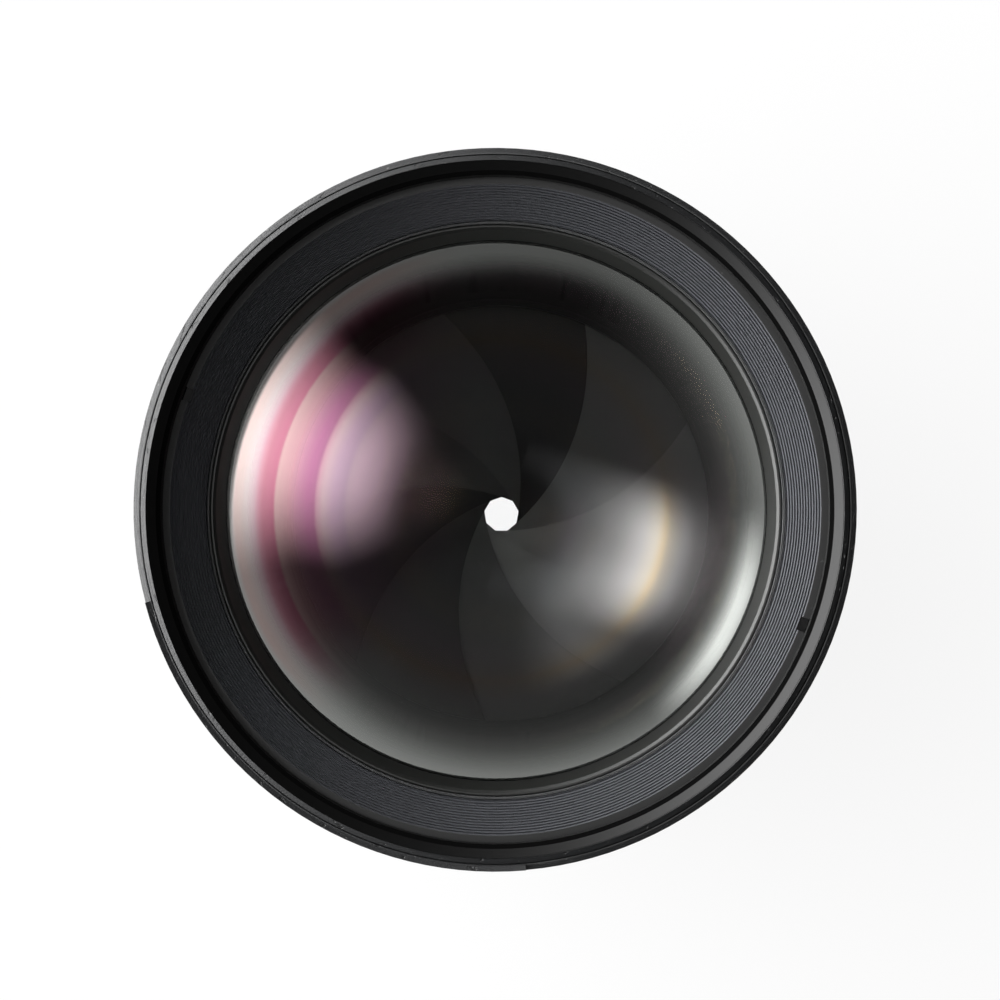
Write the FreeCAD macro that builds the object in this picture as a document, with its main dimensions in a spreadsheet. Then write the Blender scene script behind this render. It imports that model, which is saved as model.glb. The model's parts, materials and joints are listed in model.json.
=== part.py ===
import FreeCAD, Part
import math
import os
import Sketcher

# A telephoto prime lens of 85 mm, f/1.8 to f/22, with manual focus and an aperture ring.
# The origin is the middle of the mount flange's face, and +Z is the optical axis towards
# the front. It is modelled at rest: focused at infinity and stopped down to f/22.

doc = FreeCAD.newDocument("telephoto_prime_lens")

# Driving sizes, in millimetres, degrees and counts. Radii that follow from others are worked
# out below, from the glass and the iris outwards.
SIZES = {
    # lengths along the barrel, from the mount to the rim
    "flange_to_rim": 82.0,
    "mount_flange_thickness": 3.0,
    "rear_cover_length": 10.0,
    "aperture_ring_length": 11.0,
    "scale_ring_length": 8.4,
    "front_barrel_length": 15.7,
    "ring_gap": 0.3,
    "edge_break": 0.3,
    # front rim and filter thread
    "thread_beyond_glass": 5.4,
    "filter_thread_height": 0.4,
    "filter_thread_length": 2.5,
    "thread_relief": 0.9,
    "thread_lead_in": 0.25,
    "mouth_width": 1.0,
    "mouth_depth": 0.75,
    "rim_land": 0.55,
    "rim_groove_width": 0.15,
    "rim_groove_depth": 0.35,
    "rim_bevel_width": 0.7,
    "rim_bevel_top": 0.11,
    "rim_bevel_bottom": 0.83,
    "rim_flat_start_angle": -165.0,
    "rim_flat_angle": 80.0,
    "rim_flat_drop": 0.08,
    "hood_groove_setback": 3.0,
    "hood_groove_width": 1.6,
    "hood_groove_depth": 0.7,
    # ribbed baffle inside the thread
    "lip_depth": 3.5,
    "lip_width": 0.75,
    "lip_step": 0.35,
    "baffle_beyond_glass": 0.6,
    "baffle_depth": 3.3,
    "baffle_floor": 1.5,
    "baffle_ribs": 13.0,
    "rib_run_share": 0.55,
    "rib_valley": 0.044,
    "rib_crest": 0.132,
    "notch_width": 1.5,
    "notch_depth": 1.2,
    "notch_angle": -20.5,
    # bayonet mount
    "bayonet_tube_radius": 25.4,
    "bayonet_tube_wall": 2.5,
    "bayonet_length": 6.5,
    "bayonet_lug_height": 1.5,
    "bayonet_lug_angle": 56.0,
    "bayonet_lug_thickness": 1.5,
    "bayonet_lug_rise": 1.2,
    "mount_seat_width": 5.3,
    "mount_seat_relief": 0.3,
    "mount_screw_radius": 0.9,
    "mount_screw_head": 1.55,
    "mount_screw_sink": 0.9,
    "mount_screws": 5.0,
    "lock_hole_radius": 1.5,
    "lock_hole_depth": 2.0,
    "rear_baffle_lip": 3.9,
    "rear_baffle_wall": 0.8,
    "rear_baffle_inset": 1.0,
    # fixed barrel
    "seat_clearance": 0.05,
    "turn_clearance": 0.06,
    "screw_clearance": 0.05,
    "iris_tube_gap": 2.4,
    "unit_tube_wall": 1.5,
    "main_barrel_wall": 1.55,
    "mount_margin": 1.1,
    "cam_sleeve_wall": 1.35,
    "barrel_seat_length": 2.5,
    "barrel_seat_clearance": 0.3,
    "keeper_length": 1.5,
    "keeper_inset": 0.35,
    "cover_step": 0.5,
    "cover_taper": 3.0,
    "index_dot_radius": 1.1,
    "index_dot_depth": 0.35,
    "index_dot_height": 0.4,
    "scale_band": 3.2,
    "scale_front_band": 2.0,
    # focus
    "focus_travel": 8.0,
    "focus_turn": 100.0,
    "focus_ring_wall": 1.59,
    "collar_setback": 14.0,
    "collar_radius": 2.0,
    "collar_bore": 1.05,
    "collar_head_radius": 1.65,
    "collar_sink": 1.0,
    "slot_clearance": 0.06,
    "guide_overrun": 0.2,
    "sleeve_setback": 2.8,
    "stop_screw_radius": 1.2,
    "stop_screw_height": 1.35,
    "stop_screw_shank": 0.72,
    "grip_inset": 0.8,
    "grip_thickness": 1.5,
    "grip_end": 4.2,
    "grip_ribs": 54.0,
    "grip_rib_height": 0.7,
    "grip_screw_radius": 0.8,
    "grip_screw_inset": 2.0,
    "grip_screw_length": 2.65,
    # aperture ring and its fork
    "aperture_turn": 60.0,
    "aperture_ring_wall": 2.54,
    "aperture_grip_height": 0.7,
    "aperture_grip_length": 5.5,
    "aperture_grip_taper": 0.6,
    "aperture_scallops": 30.0,
    "scallop_radius": 1.7,
    "scallop_offset": 1.0,
    "fork_angle": -30.0,
    "fork_width": 10.0,
    "fork_thickness": 1.55,
    "fork_plate_thickness": 2.0,
    "fork_depth": 2.0,
    "fork_setback": 1.0,
    "fork_clearance": 0.2,
    "fork_window_rise": 3.3,
    "fork_window_height": 3.8,
    "fork_window_margin": 0.5,
    "fork_screw_radius": 0.6,
    "fork_screw_spacing": 4.8,
    "detent_ball_radius": 1.0,
    "detent_inset": 1.25,
    "detent_hole_depth": 5.0,
    "detent_clearance": 0.12,
    "detent_stops": 8.0,
    "dimple_radius": 0.5,
    "dimple_depth": 0.25,
    # front glass
    "vertex_depth": 3.6,
    "first_front_curve": 72.0,
    "first_thickness": 8.0,
    "first_rear_curve": 260.0,
    "first_edge_radius": 30.6,
    "first_gap": 0.5,
    "second_front_curve": 39.0,
    "second_thickness": 9.0,
    "second_rear_curve": 80.0,
    "second_edge_radius": 26.2,
    "second_gap": 2.0,
    "third_front_curve": 150.0,
    "third_thickness": 2.2,
    "third_rear_curve": 24.0,
    "third_edge_radius": 23.0,
    "third_clear_radius": 16.9,
    "front_stop_gap": 11.5,
    # rear glass
    "rear_stop_gap": 10.3,
    "fourth_front_curve": 45.0,
    "fourth_clear_radius": 17.0,
    "fourth_thickness": 2.2,
    "cement_curve": 70.0,
    "cement_gap": 0.03,
    "fifth_thickness": 8.0,
    "fifth_rear_curve": 46.0,
    "fifth_gap": 0.5,
    "sixth_front_curve": 130.0,
    "sixth_thickness": 5.5,
    "sixth_rear_curve": 170.0,
    "rear_edge_radius": 18.6,
    # cells and retainers
    "retainer_face": 1.3,
    "retainer_clearance": 0.1,
    "retainer_land": 0.4,
    "retainer_rise": 1.2,
    "retainer_bevel": 0.15,
    "front_cell_wall": 1.8,
    "cell_flange_inset": 1.5,
    "cell_flange_thickness": 2.0,
    "unit_flange_thickness": 1.3,
    "upstand_width": 0.9,
    "upstand_height": 3.0,
    "cell_screw_radius": 0.6,
    "cell_screw_head": 1.0,
    "cell_screw_inset": 1.2,
    "barrel_screw_radius": 0.8,
    "barrel_screw_head": 1.2,
    "screw_bite": 0.9,
    "set_screw_angle": 30.0,
    "collar_angle": 90.0,
    "screw_head_height": 0.8,
    "second_retainer_width": 1.8,
    "second_retainer_length": 3.1,
    "second_cell_wall": 2.5,
    "third_lip": 0.7,
    "cell_lip_thickness": 1.0,
    "cell_skirt_wall": 1.45,
    "rear_cell_wall": 1.75,
    "rear_lip": 0.55,
    "rear_land": 1.1,
    "rear_retainer_length": 2.3,
    "shim": 0.06,
    # iris
    "blades": 9.0,
    "iris_opening": 16.7,
    "hole_apothem": 1.37,
    "hole_side_angle": 150.0,
    "blade_overlap": 0.7,
    "blade_width": 8.5,
    "blade_sweep_angle": 134.0,
    "blade_thickness": 0.05,
    "blade_pitch": 9.8,
    "pivot_setback": 6.2,
    "stud_radius": 0.5,
    "stud_clearance": 0.05,
    "stud_head": 0.06,
    "stud_foot_clearance": 0.1,
    "drive_stud_offset": 0.3,
    "drive_stud_angle": 16.0,
    "window_clearance": 0.1,
    "window_overrun": 1.5,
    "cam_slot_clearance": 0.09,
    "cam_slot_overrun": 0.6,
    "cam_ring_inset": 0.6,
    "cam_ring_rim": 2.0,
    "iris_plate_thickness": 1.2,
    "iris_plate_inset": 0.1,
    "iris_cover_thickness": 0.7,
    "iris_cover_bevel": 0.3,
    "iris_cover_clearance": 0.2,
    "blade_clearance": 0.12,
    "blade_side_clearance": 0.8,
    "iris_wall": 1.4,
    "iris_skirt_wall": 1.7,
    "iris_skirt_length": 2.2,
    "iris_flange_thickness": 1.4,
    "iris_flange_drop": 1.0,
    "shelf_width": 0.9,
    "shelf_thickness": 1.2,
    "cam_gap": 0.1,
    "keeper_plate_thickness": 0.9,
    "keeper_plate_width": 2.2,
    "drive_lug_angle": 8.0,
    "drive_pin_radius": 0.8,
    "unit_tube_below_iris": 9.2,
}

# How far a cutter, or the root of a joined feature, runs past the wall that it meets
PAST = 0.5


class Size:
    """A size from the sheet, or one worked out from some of them.

    It carries its number, which places the geometry, and its formula, which binds it.
    """

    def __init__(self, number, formula):
        self.number = number
        self.formula = formula

    def __add__(self, other):
        other = size_of(other)
        return Size(self.number + other.number, f"({self.formula} + {other.formula})")

    def __sub__(self, other):
        other = size_of(other)
        return Size(self.number - other.number, f"({self.formula} - {other.formula})")

    def __mul__(self, other):
        other = size_of(other)
        return Size(self.number * other.number, f"({self.formula} * {other.formula})")

    def __truediv__(self, other):
        other = size_of(other)
        return Size(self.number / other.number, f"({self.formula} / {other.formula})")

    def __rmul__(self, other):
        return size_of(other) * self

    def __rsub__(self, other):
        return size_of(other) - self

    def __neg__(self):
        return size_of(0.0) - self

    def root(self):
        return Size(math.sqrt(self.number), f"sqrt({self.formula})")

    def or_more(self, other):
        """The larger of this size and another."""
        return Size(max(self.number, other.number), f"max({self.formula}; {other.formula})")


def size_of(value):
    if isinstance(value, Size):
        return value
    return Size(float(value), f"({float(value)})")


sheet = doc.addObject("Spreadsheet::Sheet", "Sizes")
size = {}
for row, (alias, value) in enumerate(SIZES.items(), start=1):
    sheet.set(f"A{row}", alias)
    sheet.set(f"B{row}", str(value))
    sheet.setAlias(f"B{row}", alias)
    size[alias] = Size(value, f"Sizes.{alias}")
doc.recompute()

ORIGIN = FreeCAD.Vector(0, 0, 0)
AXIS = FreeCAD.Vector(0, 0, 1)
FULL_TURN = 360.0
pieces = {}


def keep(label, thing):
    """Note a finished sub-part under the name of its node."""
    thing.Label = label
    pieces[label] = thing
    return thing


# Sketches on a body's own planes, with every point bound to the sheet

def plane_of(body, role):
    return next(f for f in body.Origin.OriginFeatures if f.Role == role)


def sketch_on(body, role, turn=0.0, rise=0.0):
    """A sketch on the XZ plane turned about the optical axis, or on the XY plane raised along it.

    A turn is given between 0 and one more full turn, so that it stays positive.
    """
    sketch = body.newObject("Sketcher::SketchObject", "Sketch")
    sketch.AttachmentSupport = (plane_of(body, role), [""])
    sketch.MapMode = "FlatFace"
    turn, rise = size_of(turn), size_of(rise)
    spin = FreeCAD.Vector(0, 1, 0) if role == "XZ_Plane" else AXIS
    sketch.AttachmentOffset = FreeCAD.Placement(
        FreeCAD.Vector(0, 0, rise.number), FreeCAD.Rotation(spin, turn.number)
    )
    if turn.number > 0:
        sketch.setExpression("AttachmentOffset.Rotation.Angle", turn.formula)
    if role == "XY_Plane":
        sketch.setExpression("AttachmentOffset.Base.z", rise.formula)
    return sketch


def bind(sketch, kind, *where, value):
    """Add a dimension to a sketch and bind it to a size."""
    value = size_of(value)
    number = sketch.addConstraint(Sketcher.Constraint(kind, *where, value.number))
    sketch.setExpression(f"Constraints[{number}]", value.formula)


def pin(sketch, geometry, point, x, y):
    bind(sketch, "DistanceX", -1, 1, geometry, point, value=x)
    bind(sketch, "DistanceY", -1, 1, geometry, point, value=y)


def draw_outline(sketch, points):
    """A closed outline of straight lines through (x, y) sizes."""
    points = [(size_of(x), size_of(y)) for x, y in points]
    corners = [FreeCAD.Vector(x.number, y.number, 0) for x, y in points]
    count = len(points)
    for i in range(count):
        sketch.addGeometry(Part.LineSegment(corners[i], corners[(i + 1) % count]), False)
    for i in range(count):
        sketch.addConstraint(Sketcher.Constraint("Coincident", i, 2, (i + 1) % count, 1))
    for i, (x, y) in enumerate(points):
        pin(sketch, i, 1, x, y)


def draw_circle(sketch, x, y, radius):
    x, y, radius = size_of(x), size_of(y), size_of(radius)
    middle = FreeCAD.Vector(x.number, y.number, 0)
    number = sketch.addGeometry(Part.Circle(middle, AXIS, radius.number), False)
    pin(sketch, number, 3, x, y)
    bind(sketch, "Radius", number, value=radius)


def draw_slot(sketch, low, high, radius):
    """An upright slot with round ends on the sketch's own upright axis."""
    r = radius.number
    for height, start, stop in ((high, 0.0, math.pi), (low, math.pi, 2 * math.pi)):
        round_end = Part.Circle(FreeCAD.Vector(0, height.number, 0), AXIS, r)
        sketch.addGeometry(Part.ArcOfCircle(round_end, start, stop), False)
    for x, first, last in ((-r, high, low), (r, low, high)):
        a = FreeCAD.Vector(x, first.number, 0)
        b = FreeCAD.Vector(x, last.number, 0)
        sketch.addGeometry(Part.LineSegment(a, b), False)
    for joint in ((0, 2, 2, 1), (2, 2, 1, 1), (1, 2, 3, 1), (3, 2, 0, 1)):
        sketch.addConstraint(Sketcher.Constraint("Tangent", *joint))
    for arc, height in ((0, high), (1, low)):
        pin(sketch, arc, 3, 0.0, height)
        bind(sketch, "Radius", arc, value=radius)


# Features that repeat through the lens

def revolved(body, points, span=None, turn=0.0, cut=False, name="Revolution"):
    """Turn a (radius, height) outline about the optical axis, or through a span about an angle."""
    sketch = sketch_on(body, "XZ_Plane", turn=turn)
    draw_outline(sketch, points)
    kind = "PartDesign::Groove" if cut else "PartDesign::Revolution"
    feature = body.newObject(kind, name)
    feature.Profile = sketch
    feature.ReferenceAxis = (sketch, ["V_Axis"])
    if span is None:
        feature.Angle = FULL_TURN
    else:
        feature.Midplane = True
        feature.Angle = span.number
        feature.setExpression("Angle", span.formula)
    return feature


def ring(label, points):
    """A piece that is turned on a lathe: a new body with one full revolution."""
    body = doc.addObject("PartDesign::Body", label)
    revolved(body, points)
    return keep(label, body)


def band(inner, outer, low, high):
    """A rectangular outline between two radii and two heights."""
    return [(inner, low), (outer, low), (outer, high), (inner, high)]


def repeat(body, features, count, span=None):
    """Repeat features evenly about the optical axis, all round or backwards over a span."""
    pattern = body.newObject("PartDesign::PolarPattern", "PolarPattern")
    pattern.Originals = features
    pattern.Axis = (plane_of(body, "Z_Axis"), [""])
    pattern.Occurrences = count
    if span is None:
        pattern.Angle = FULL_TURN
    else:
        pattern.Reversed = True
        pattern.Angle = span.number
        pattern.setExpression("Angle", span.formula)
    body.Tip = pattern


def pocket(body, sketch, depth=None):
    """Cut a sketch's outline to a depth, or right through on the sketch's cutting side."""
    cut = body.newObject("PartDesign::Pocket", "Pocket")
    cut.Profile = sketch
    if depth is None:
        cut.Type = 1
    else:
        cut.Length = depth.number
        cut.setExpression("Length", depth.formula)
    return cut


def drill(body, x, y, radius, top, depth):
    """A hole along the optical axis, from a height downwards."""
    sketch = sketch_on(body, "XY_Plane", rise=top)
    draw_circle(sketch, x, y, radius)
    return pocket(body, sketch, depth)


def bore_outward(body, angle, height, radius):
    """A radial hole from the axis out through the wall, at an angle and a height."""
    sketch = sketch_on(body, "XZ_Plane", turn=size_of(angle) + 270.0)
    draw_circle(sketch, 0.0, height, radius)
    return pocket(body, sketch)


def sag(curve, radius):
    """How far a spherical surface falls from its vertex at a radius."""
    return curve - (curve * curve - radius * radius).root()


def polar(radius, angle, height=0.0):
    turn = math.radians(angle)
    return FreeCAD.Vector(radius * math.cos(turn), radius * math.sin(turn), height)


def turned_solid(points):
    """A solid of revolution about Z from (radius, height) sizes, for small fasteners."""
    corners = [FreeCAD.Vector(size_of(r).number, 0, size_of(z).number) for r, z in points]
    face = Part.Face(Part.makePolygon(corners + corners[:1]))
    return face.revolve(ORIGIN, AXIS, FULL_TURN)


def screw_solid(shank, foot, seat, head, top):
    """A cheese-head screw along Z, from its foot, under its head at the seat, to its top."""
    return turned_solid([(0, foot), (shank, foot), (shank, seat), (head, seat), (head, top), (0, top)])


def aimed_outward(solid, angle, height):
    """Lay a solid made along Z onto the radial line at an angle and a height."""
    laid = solid.copy()
    laid.rotate(ORIGIN, FreeCAD.Vector(0, 1, 0), 90)
    laid.rotate(ORIGIN, AXIS, angle)
    laid.translate(FreeCAD.Vector(0, 0, height.number))
    return laid


def around(solid, count, first=0.0):
    """Copies of a solid, evenly about the optical axis."""
    copies = []
    for number in range(count):
        turned = solid.copy()
        turned.rotate(ORIGIN, AXIS, first + number * FULL_TURN / count)
        copies.append(turned)
    return Part.makeCompound(copies)


def shaped(label, shape):
    """A sub-part whose shape is worked out here from the sheet's numbers."""
    feature = doc.addObject("Part::Feature", label)
    feature.Shape = shape
    return keep(label, feature)


def cut_away(label, tool_shape):
    """Cut a shaped tool out of a sub-part that is already made."""
    base = pieces[label]
    tool = doc.addObject("Part::Feature", label + "_tool")
    tool.Shape = tool_shape
    cut = doc.addObject("Part::Cut", label + "_cut")
    cut.Base = base
    cut.Tool = tool
    base.Label = label + "_blank"
    return keep(label, cut)


def slot_cutter(middle, radius, start, stop, half_width, low, high):
    """A prism over a curved slot with round ends: an arc about a middle point, thickened."""
    def at(r, angle):
        return middle + polar(r, angle)

    half = (start + stop) / 2
    inner, outer = radius - half_width, radius + half_width
    forth = Part.Arc(at(outer, start), at(outer, half), at(outer, stop))
    back = Part.Arc(at(inner, stop), at(inner, half), at(inner, start))
    end = at(radius, stop) + polar(half_width, stop + 90)
    begin = at(radius, start) + polar(half_width, start - 90)
    far = Part.Arc(at(outer, stop), end, at(inner, stop))
    near = Part.Arc(at(inner, start), begin, at(outer, start))
    face = Part.Face(Part.Wire([curve.toShape() for curve in (forth, far, back, near)]))
    face.translate(FreeCAD.Vector(0, 0, low))
    return face.extrude(FreeCAD.Vector(0, 0, high - low))


# Levels along the optical axis

flange_top = size["mount_flange_thickness"]
cover_front = flange_top + size["rear_cover_length"]
aperture_rear = cover_front + size["ring_gap"]
aperture_front = aperture_rear + size["aperture_ring_length"]
scale_rear = aperture_front + size["ring_gap"]
scale_front = scale_rear + size["scale_ring_length"]
focus_rear = scale_front + size["ring_gap"]
rim = size["flange_to_rim"]
barrel_rear = rim - size["front_barrel_length"]
focus_front = barrel_rear - size["ring_gap"]

front_vertex = rim - size["vertex_depth"]
first_rear = front_vertex - size["first_thickness"]
second_front = first_rear - size["first_gap"]
second_rear = second_front - size["second_thickness"]
third_front = second_rear - size["second_gap"]
third_rear = third_front - size["third_thickness"]
iris_level = third_rear - size["front_stop_gap"]
fourth_front = iris_level - size["rear_stop_gap"]
fourth_rear = fourth_front - size["fourth_thickness"]
fifth_front = fourth_rear - size["cement_gap"]
fifth_rear = fifth_front - size["fifth_thickness"]
sixth_front = fifth_rear - size["fifth_gap"]
sixth_rear = sixth_front - size["sixth_thickness"]

# Radii of the bayonet mount

bayonet_bore = size["bayonet_tube_radius"] - size["bayonet_tube_wall"]
lug_outer = size["bayonet_tube_radius"] + size["bayonet_lug_height"]
seat_inner = lug_outer + size["mount_seat_relief"]
mount_outer = seat_inner + size["mount_seat_width"]

# Radii from the iris outwards: blades, cam ring, housing, sliding tube, barrel, sleeve, rings

blade_inner = size["iris_opening"] + size["blade_overlap"]
pivot_circle = blade_inner + size["pivot_setback"]
drive_stud_circle = pivot_circle + size["drive_stud_offset"]
cam_ring_outer = drive_stud_circle + size["cam_ring_rim"]
cavity_radius = blade_inner + size["blade_width"] + size["blade_side_clearance"]
iris_wall_outer = cavity_radius + size["iris_wall"]
skirt_outer = cam_ring_outer + size["iris_skirt_wall"]
second_retainer_outer = size["second_edge_radius"] + size["second_retainer_width"]
around_iris = iris_wall_outer + size["iris_tube_gap"]
unit_bore = around_iris.or_more(second_retainer_outer + size["second_cell_wall"])
unit_outer = unit_bore + size["unit_tube_wall"]
main_bore = unit_outer + size["seat_clearance"]
main_outer = (main_bore + size["main_barrel_wall"]).or_more(mount_outer + size["mount_margin"])
turn_bore = main_outer + size["turn_clearance"]
sleeve_outer = turn_bore + size["cam_sleeve_wall"]
grip_floor = sleeve_outer + size["focus_ring_wall"]
focus_ring_outer = grip_floor + size["grip_inset"]
focus_grip_outer = grip_floor + size["grip_thickness"]
aperture_ring_outer = turn_bore + size["aperture_ring_wall"]
aperture_grip_outer = aperture_ring_outer + size["aperture_grip_height"]

# Radii from the front glass outwards: baffle, thread, mouth, groove and rim

thread_radius = size["first_edge_radius"] + size["thread_beyond_glass"]
thread_bore = thread_radius - size["filter_thread_height"]
mouth_radius = thread_radius + size["mouth_width"]
groove_inner = mouth_radius + size["rim_land"]
groove_outer = groove_inner + size["rim_groove_width"]
rim_radius = groove_outer + size["rim_bevel_width"]
lip_outer = thread_bore - size["seat_clearance"]
lip_inner = lip_outer - size["lip_width"]
baffle_inner = size["first_edge_radius"] + size["baffle_beyond_glass"]
upstand_outer = thread_radius + size["upstand_width"]
cell_flange = upstand_outer - size["cell_flange_inset"]


# Glass

def element(label, front, front_curve, front_sign, rear, rear_curve, rear_sign, edge, clear=None):
    """A glass element: two spherical surfaces, a ground edge and, where it has one, a flat rim.

    A sign of 1 puts a surface's centre behind it, and -1 in front. A clear radius names where
    a hollow surface meets its flat rim: the front one where its sign is -1, or else the rear.
    """
    body = doc.addObject("PartDesign::Body", label)
    sketch = sketch_on(body, "XZ_Plane")
    hollow_front = clear is not None and front_sign < 0
    hollow_rear = clear is not None and front_sign > 0
    front_reach = clear if hollow_front else edge
    rear_reach = clear if hollow_rear else edge
    sides = (
        (front, front_curve, front_sign, front_reach),
        (rear, rear_curve, rear_sign, rear_reach),
    )
    rims = []
    for number, (vertex, curve, sign, reach) in enumerate(sides):
        middle = vertex - sign * curve
        swing = math.asin(reach.number / curve.number)
        upright = sign * math.pi / 2
        low, high = sorted((upright, upright - sign * swing))
        rim_point, axis_point = (1, 2) if sign > 0 else (2, 1)
        surface = Part.Circle(FreeCAD.Vector(0, middle.number, 0), AXIS, curve.number)
        sketch.addGeometry(Part.ArcOfCircle(surface, low, high), False)
        pin(sketch, number, 3, 0.0, middle)
        bind(sketch, "Radius", number, value=curve)
        bind(sketch, "DistanceX", -1, 1, number, axis_point, value=0.0)
        bind(sketch, "DistanceX", -1, 1, number, rim_point, value=reach)
        rims.append((reach, vertex - sign * sag(curve, reach), rim_point, axis_point))
    (front_r, front_z, front_rim, front_axis), (rear_r, rear_z, rear_rim, rear_axis) = rims
    chain = [(front_r, front_z)]
    if hollow_front:
        chain.append((edge, front_z))
    if hollow_rear:
        chain.append((edge, rear_z))
    chain.append((rear_r, rear_z))
    first_line = len(sides)
    for (x0, y0), (x1, y1) in zip(chain, chain[1:]):
        a = FreeCAD.Vector(x0.number, y0.number, 0)
        b = FreeCAD.Vector(x1.number, y1.number, 0)
        sketch.addGeometry(Part.LineSegment(a, b), False)
    last_line = first_line + len(chain) - 2
    for line in range(first_line, last_line):
        sketch.addConstraint(Sketcher.Constraint("Coincident", line, 2, line + 1, 1))
    for line, (x, y) in enumerate(chain[1:-1], start=first_line):
        pin(sketch, line, 2, x, y)
    sketch.addConstraint(Sketcher.Constraint("Coincident", 0, front_rim, first_line, 1))
    sketch.addConstraint(Sketcher.Constraint("Coincident", last_line, 2, 1, rear_rim))
    bottom = FreeCAD.Vector(0, rear.number, 0)
    top = FreeCAD.Vector(0, front.number, 0)
    core = sketch.addGeometry(Part.LineSegment(bottom, top), False)
    sketch.addConstraint(Sketcher.Constraint("Coincident", core, 1, 1, rear_axis))
    sketch.addConstraint(Sketcher.Constraint("Coincident", core, 2, 0, front_axis))
    feature = body.newObject("PartDesign::Revolution", "Revolution")
    feature.Profile = sketch
    feature.ReferenceAxis = (sketch, ["V_Axis"])
    feature.Angle = FULL_TURN
    return keep(label, body)


element("front_element", front_vertex, size["first_front_curve"], 1,
        first_rear, size["first_rear_curve"], 1, size["first_edge_radius"])
element("second_element", second_front, size["second_front_curve"], 1,
        second_rear, size["second_rear_curve"], 1, size["second_edge_radius"])
element("third_element", third_front, size["third_front_curve"], 1,
        third_rear, size["third_rear_curve"], 1, size["third_edge_radius"],
        size["third_clear_radius"])
element("fourth_element", fourth_front, size["fourth_front_curve"], -1,
        fourth_rear, size["cement_curve"], 1, size["rear_edge_radius"],
        size["fourth_clear_radius"])
element("fifth_element", fifth_front, size["cement_curve"], 1,
        fifth_rear, size["fifth_rear_curve"], -1, size["rear_edge_radius"])
element("rear_element", sixth_front, size["sixth_front_curve"], 1,
        sixth_rear, size["sixth_rear_curve"], -1, size["rear_edge_radius"])


# Bayonet mount, with its lugs, screw seats and lock hole

bayonet_end = -size["bayonet_length"]
lug_low = bayonet_end + size["bayonet_lug_rise"]
mount = ring("bayonet_mount", [
    (bayonet_bore, bayonet_end),
    (size["bayonet_tube_radius"], bayonet_end),
    (size["bayonet_tube_radius"], size["mount_seat_relief"]),
    (seat_inner, size["mount_seat_relief"]),
    (seat_inner, 0.0),
    (mount_outer, 0.0),
    (mount_outer, flange_top),
    (bayonet_bore, flange_top),
])
lug = revolved(
    mount,
    band(size["bayonet_tube_radius"] - PAST, lug_outer,
         lug_low, lug_low + size["bayonet_lug_thickness"]),
    span=size["bayonet_lug_angle"], name="Lug",
)
repeat(mount, [lug], 3)
mount_screws = int(size["mount_screws"].number)
screw_circle = (seat_inner + mount_outer) / 2.0
counterbore = drill(mount, screw_circle, 0.0, size["mount_screw_head"] + size["screw_clearance"],
                    size["mount_screw_sink"], size["mount_screw_sink"])
through = drill(mount, screw_circle, 0.0, size["mount_screw_radius"] + size["screw_clearance"],
                flange_top, flange_top)
repeat(mount, [counterbore, through], mount_screws)
drill(mount, 0.0, -screw_circle, size["lock_hole_radius"], size["lock_hole_depth"],
      size["lock_hole_depth"])

baffle_bore = bayonet_bore - size["rear_baffle_wall"]
baffle_rear = bayonet_end + size["rear_baffle_inset"]
baffle_opening = bayonet_bore - size["rear_baffle_lip"]
ring("rear_baffle", [
    (baffle_opening, baffle_rear),
    (bayonet_bore, baffle_rear),
    (bayonet_bore, flange_top),
    (baffle_bore, flange_top),
    (baffle_bore, baffle_rear + size["rear_baffle_wall"]),
    (baffle_opening, baffle_rear + size["rear_baffle_wall"]),
])


# Fixed barrel, with its three straight guide slots and the fork's window

seat_top = flange_top + size["barrel_seat_length"]
main_front = focus_front - size["ring_gap"]
seat_bore = bayonet_bore + size["barrel_seat_clearance"]
main_barrel = ring("main_barrel", [
    (seat_bore, flange_top),
    (main_outer, flange_top),
    (main_outer, main_front),
    (main_bore, main_front),
    (main_bore, seat_top),
    (seat_bore, seat_top),
])
seat_hole = drill(main_barrel, screw_circle, 0.0, size["mount_screw_radius"], seat_top, seat_top)
repeat(main_barrel, [seat_hole], mount_screws)

collar_low = focus_front - size["collar_setback"]
collar_high = collar_low + size["focus_travel"]
slot_half = size["collar_radius"] + size["slot_clearance"]
guide_sketch = sketch_on(main_barrel, "XZ_Plane")
draw_slot(guide_sketch, collar_low - size["guide_overrun"], collar_high + size["guide_overrun"],
          slot_half)
repeat(main_barrel, [pocket(main_barrel, guide_sketch)], 3)

window_low = aperture_rear + size["fork_window_rise"]
window_high = window_low + size["fork_window_height"]
window_middle = size["fork_angle"] + size["aperture_turn"] / 2.0 + FULL_TURN
window_span = size["aperture_turn"] + size["fork_width"] + 2.0 * size["fork_window_margin"]
revolved(main_barrel, band(main_bore - PAST, main_outer + PAST, window_low, window_high),
         span=window_span, turn=window_middle, cut=True, name="ForkWindow")
stop_level = focus_rear + size["stop_screw_height"]
bore_outward(main_barrel, size["collar_angle"], stop_level, size["stop_screw_shank"])

cover_rear_outer = main_outer + size["cover_step"]
ring("rear_cover", [
    (main_outer, flange_top),
    (cover_rear_outer, flange_top),
    (aperture_ring_outer, flange_top + size["cover_taper"]),
    (aperture_ring_outer, cover_front),
    (main_outer, cover_front),
])

scale = ring("scale_ring", [
    (main_outer, scale_rear),
    (aperture_ring_outer, scale_rear),
    (aperture_ring_outer, scale_rear + size["scale_band"]),
    (focus_ring_outer, scale_front - size["scale_front_band"]),
    (focus_ring_outer, scale_front),
    (main_outer, scale_front),
])
detent_circle = aperture_ring_outer - size["detent_inset"]
detent_hole = size["detent_ball_radius"] + size["detent_clearance"]
drill(scale, 0.0, detent_circle, detent_hole, scale_rear + size["detent_hole_depth"],
      size["detent_hole_depth"])

keeper_rear = main_front - size["keeper_length"]
ring("focus_keeper", band(main_outer, sleeve_outer - size["keeper_inset"], keeper_rear, main_front))


# Focus ring, its cam sleeve with three spiral slots, and the rubber grip

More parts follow.
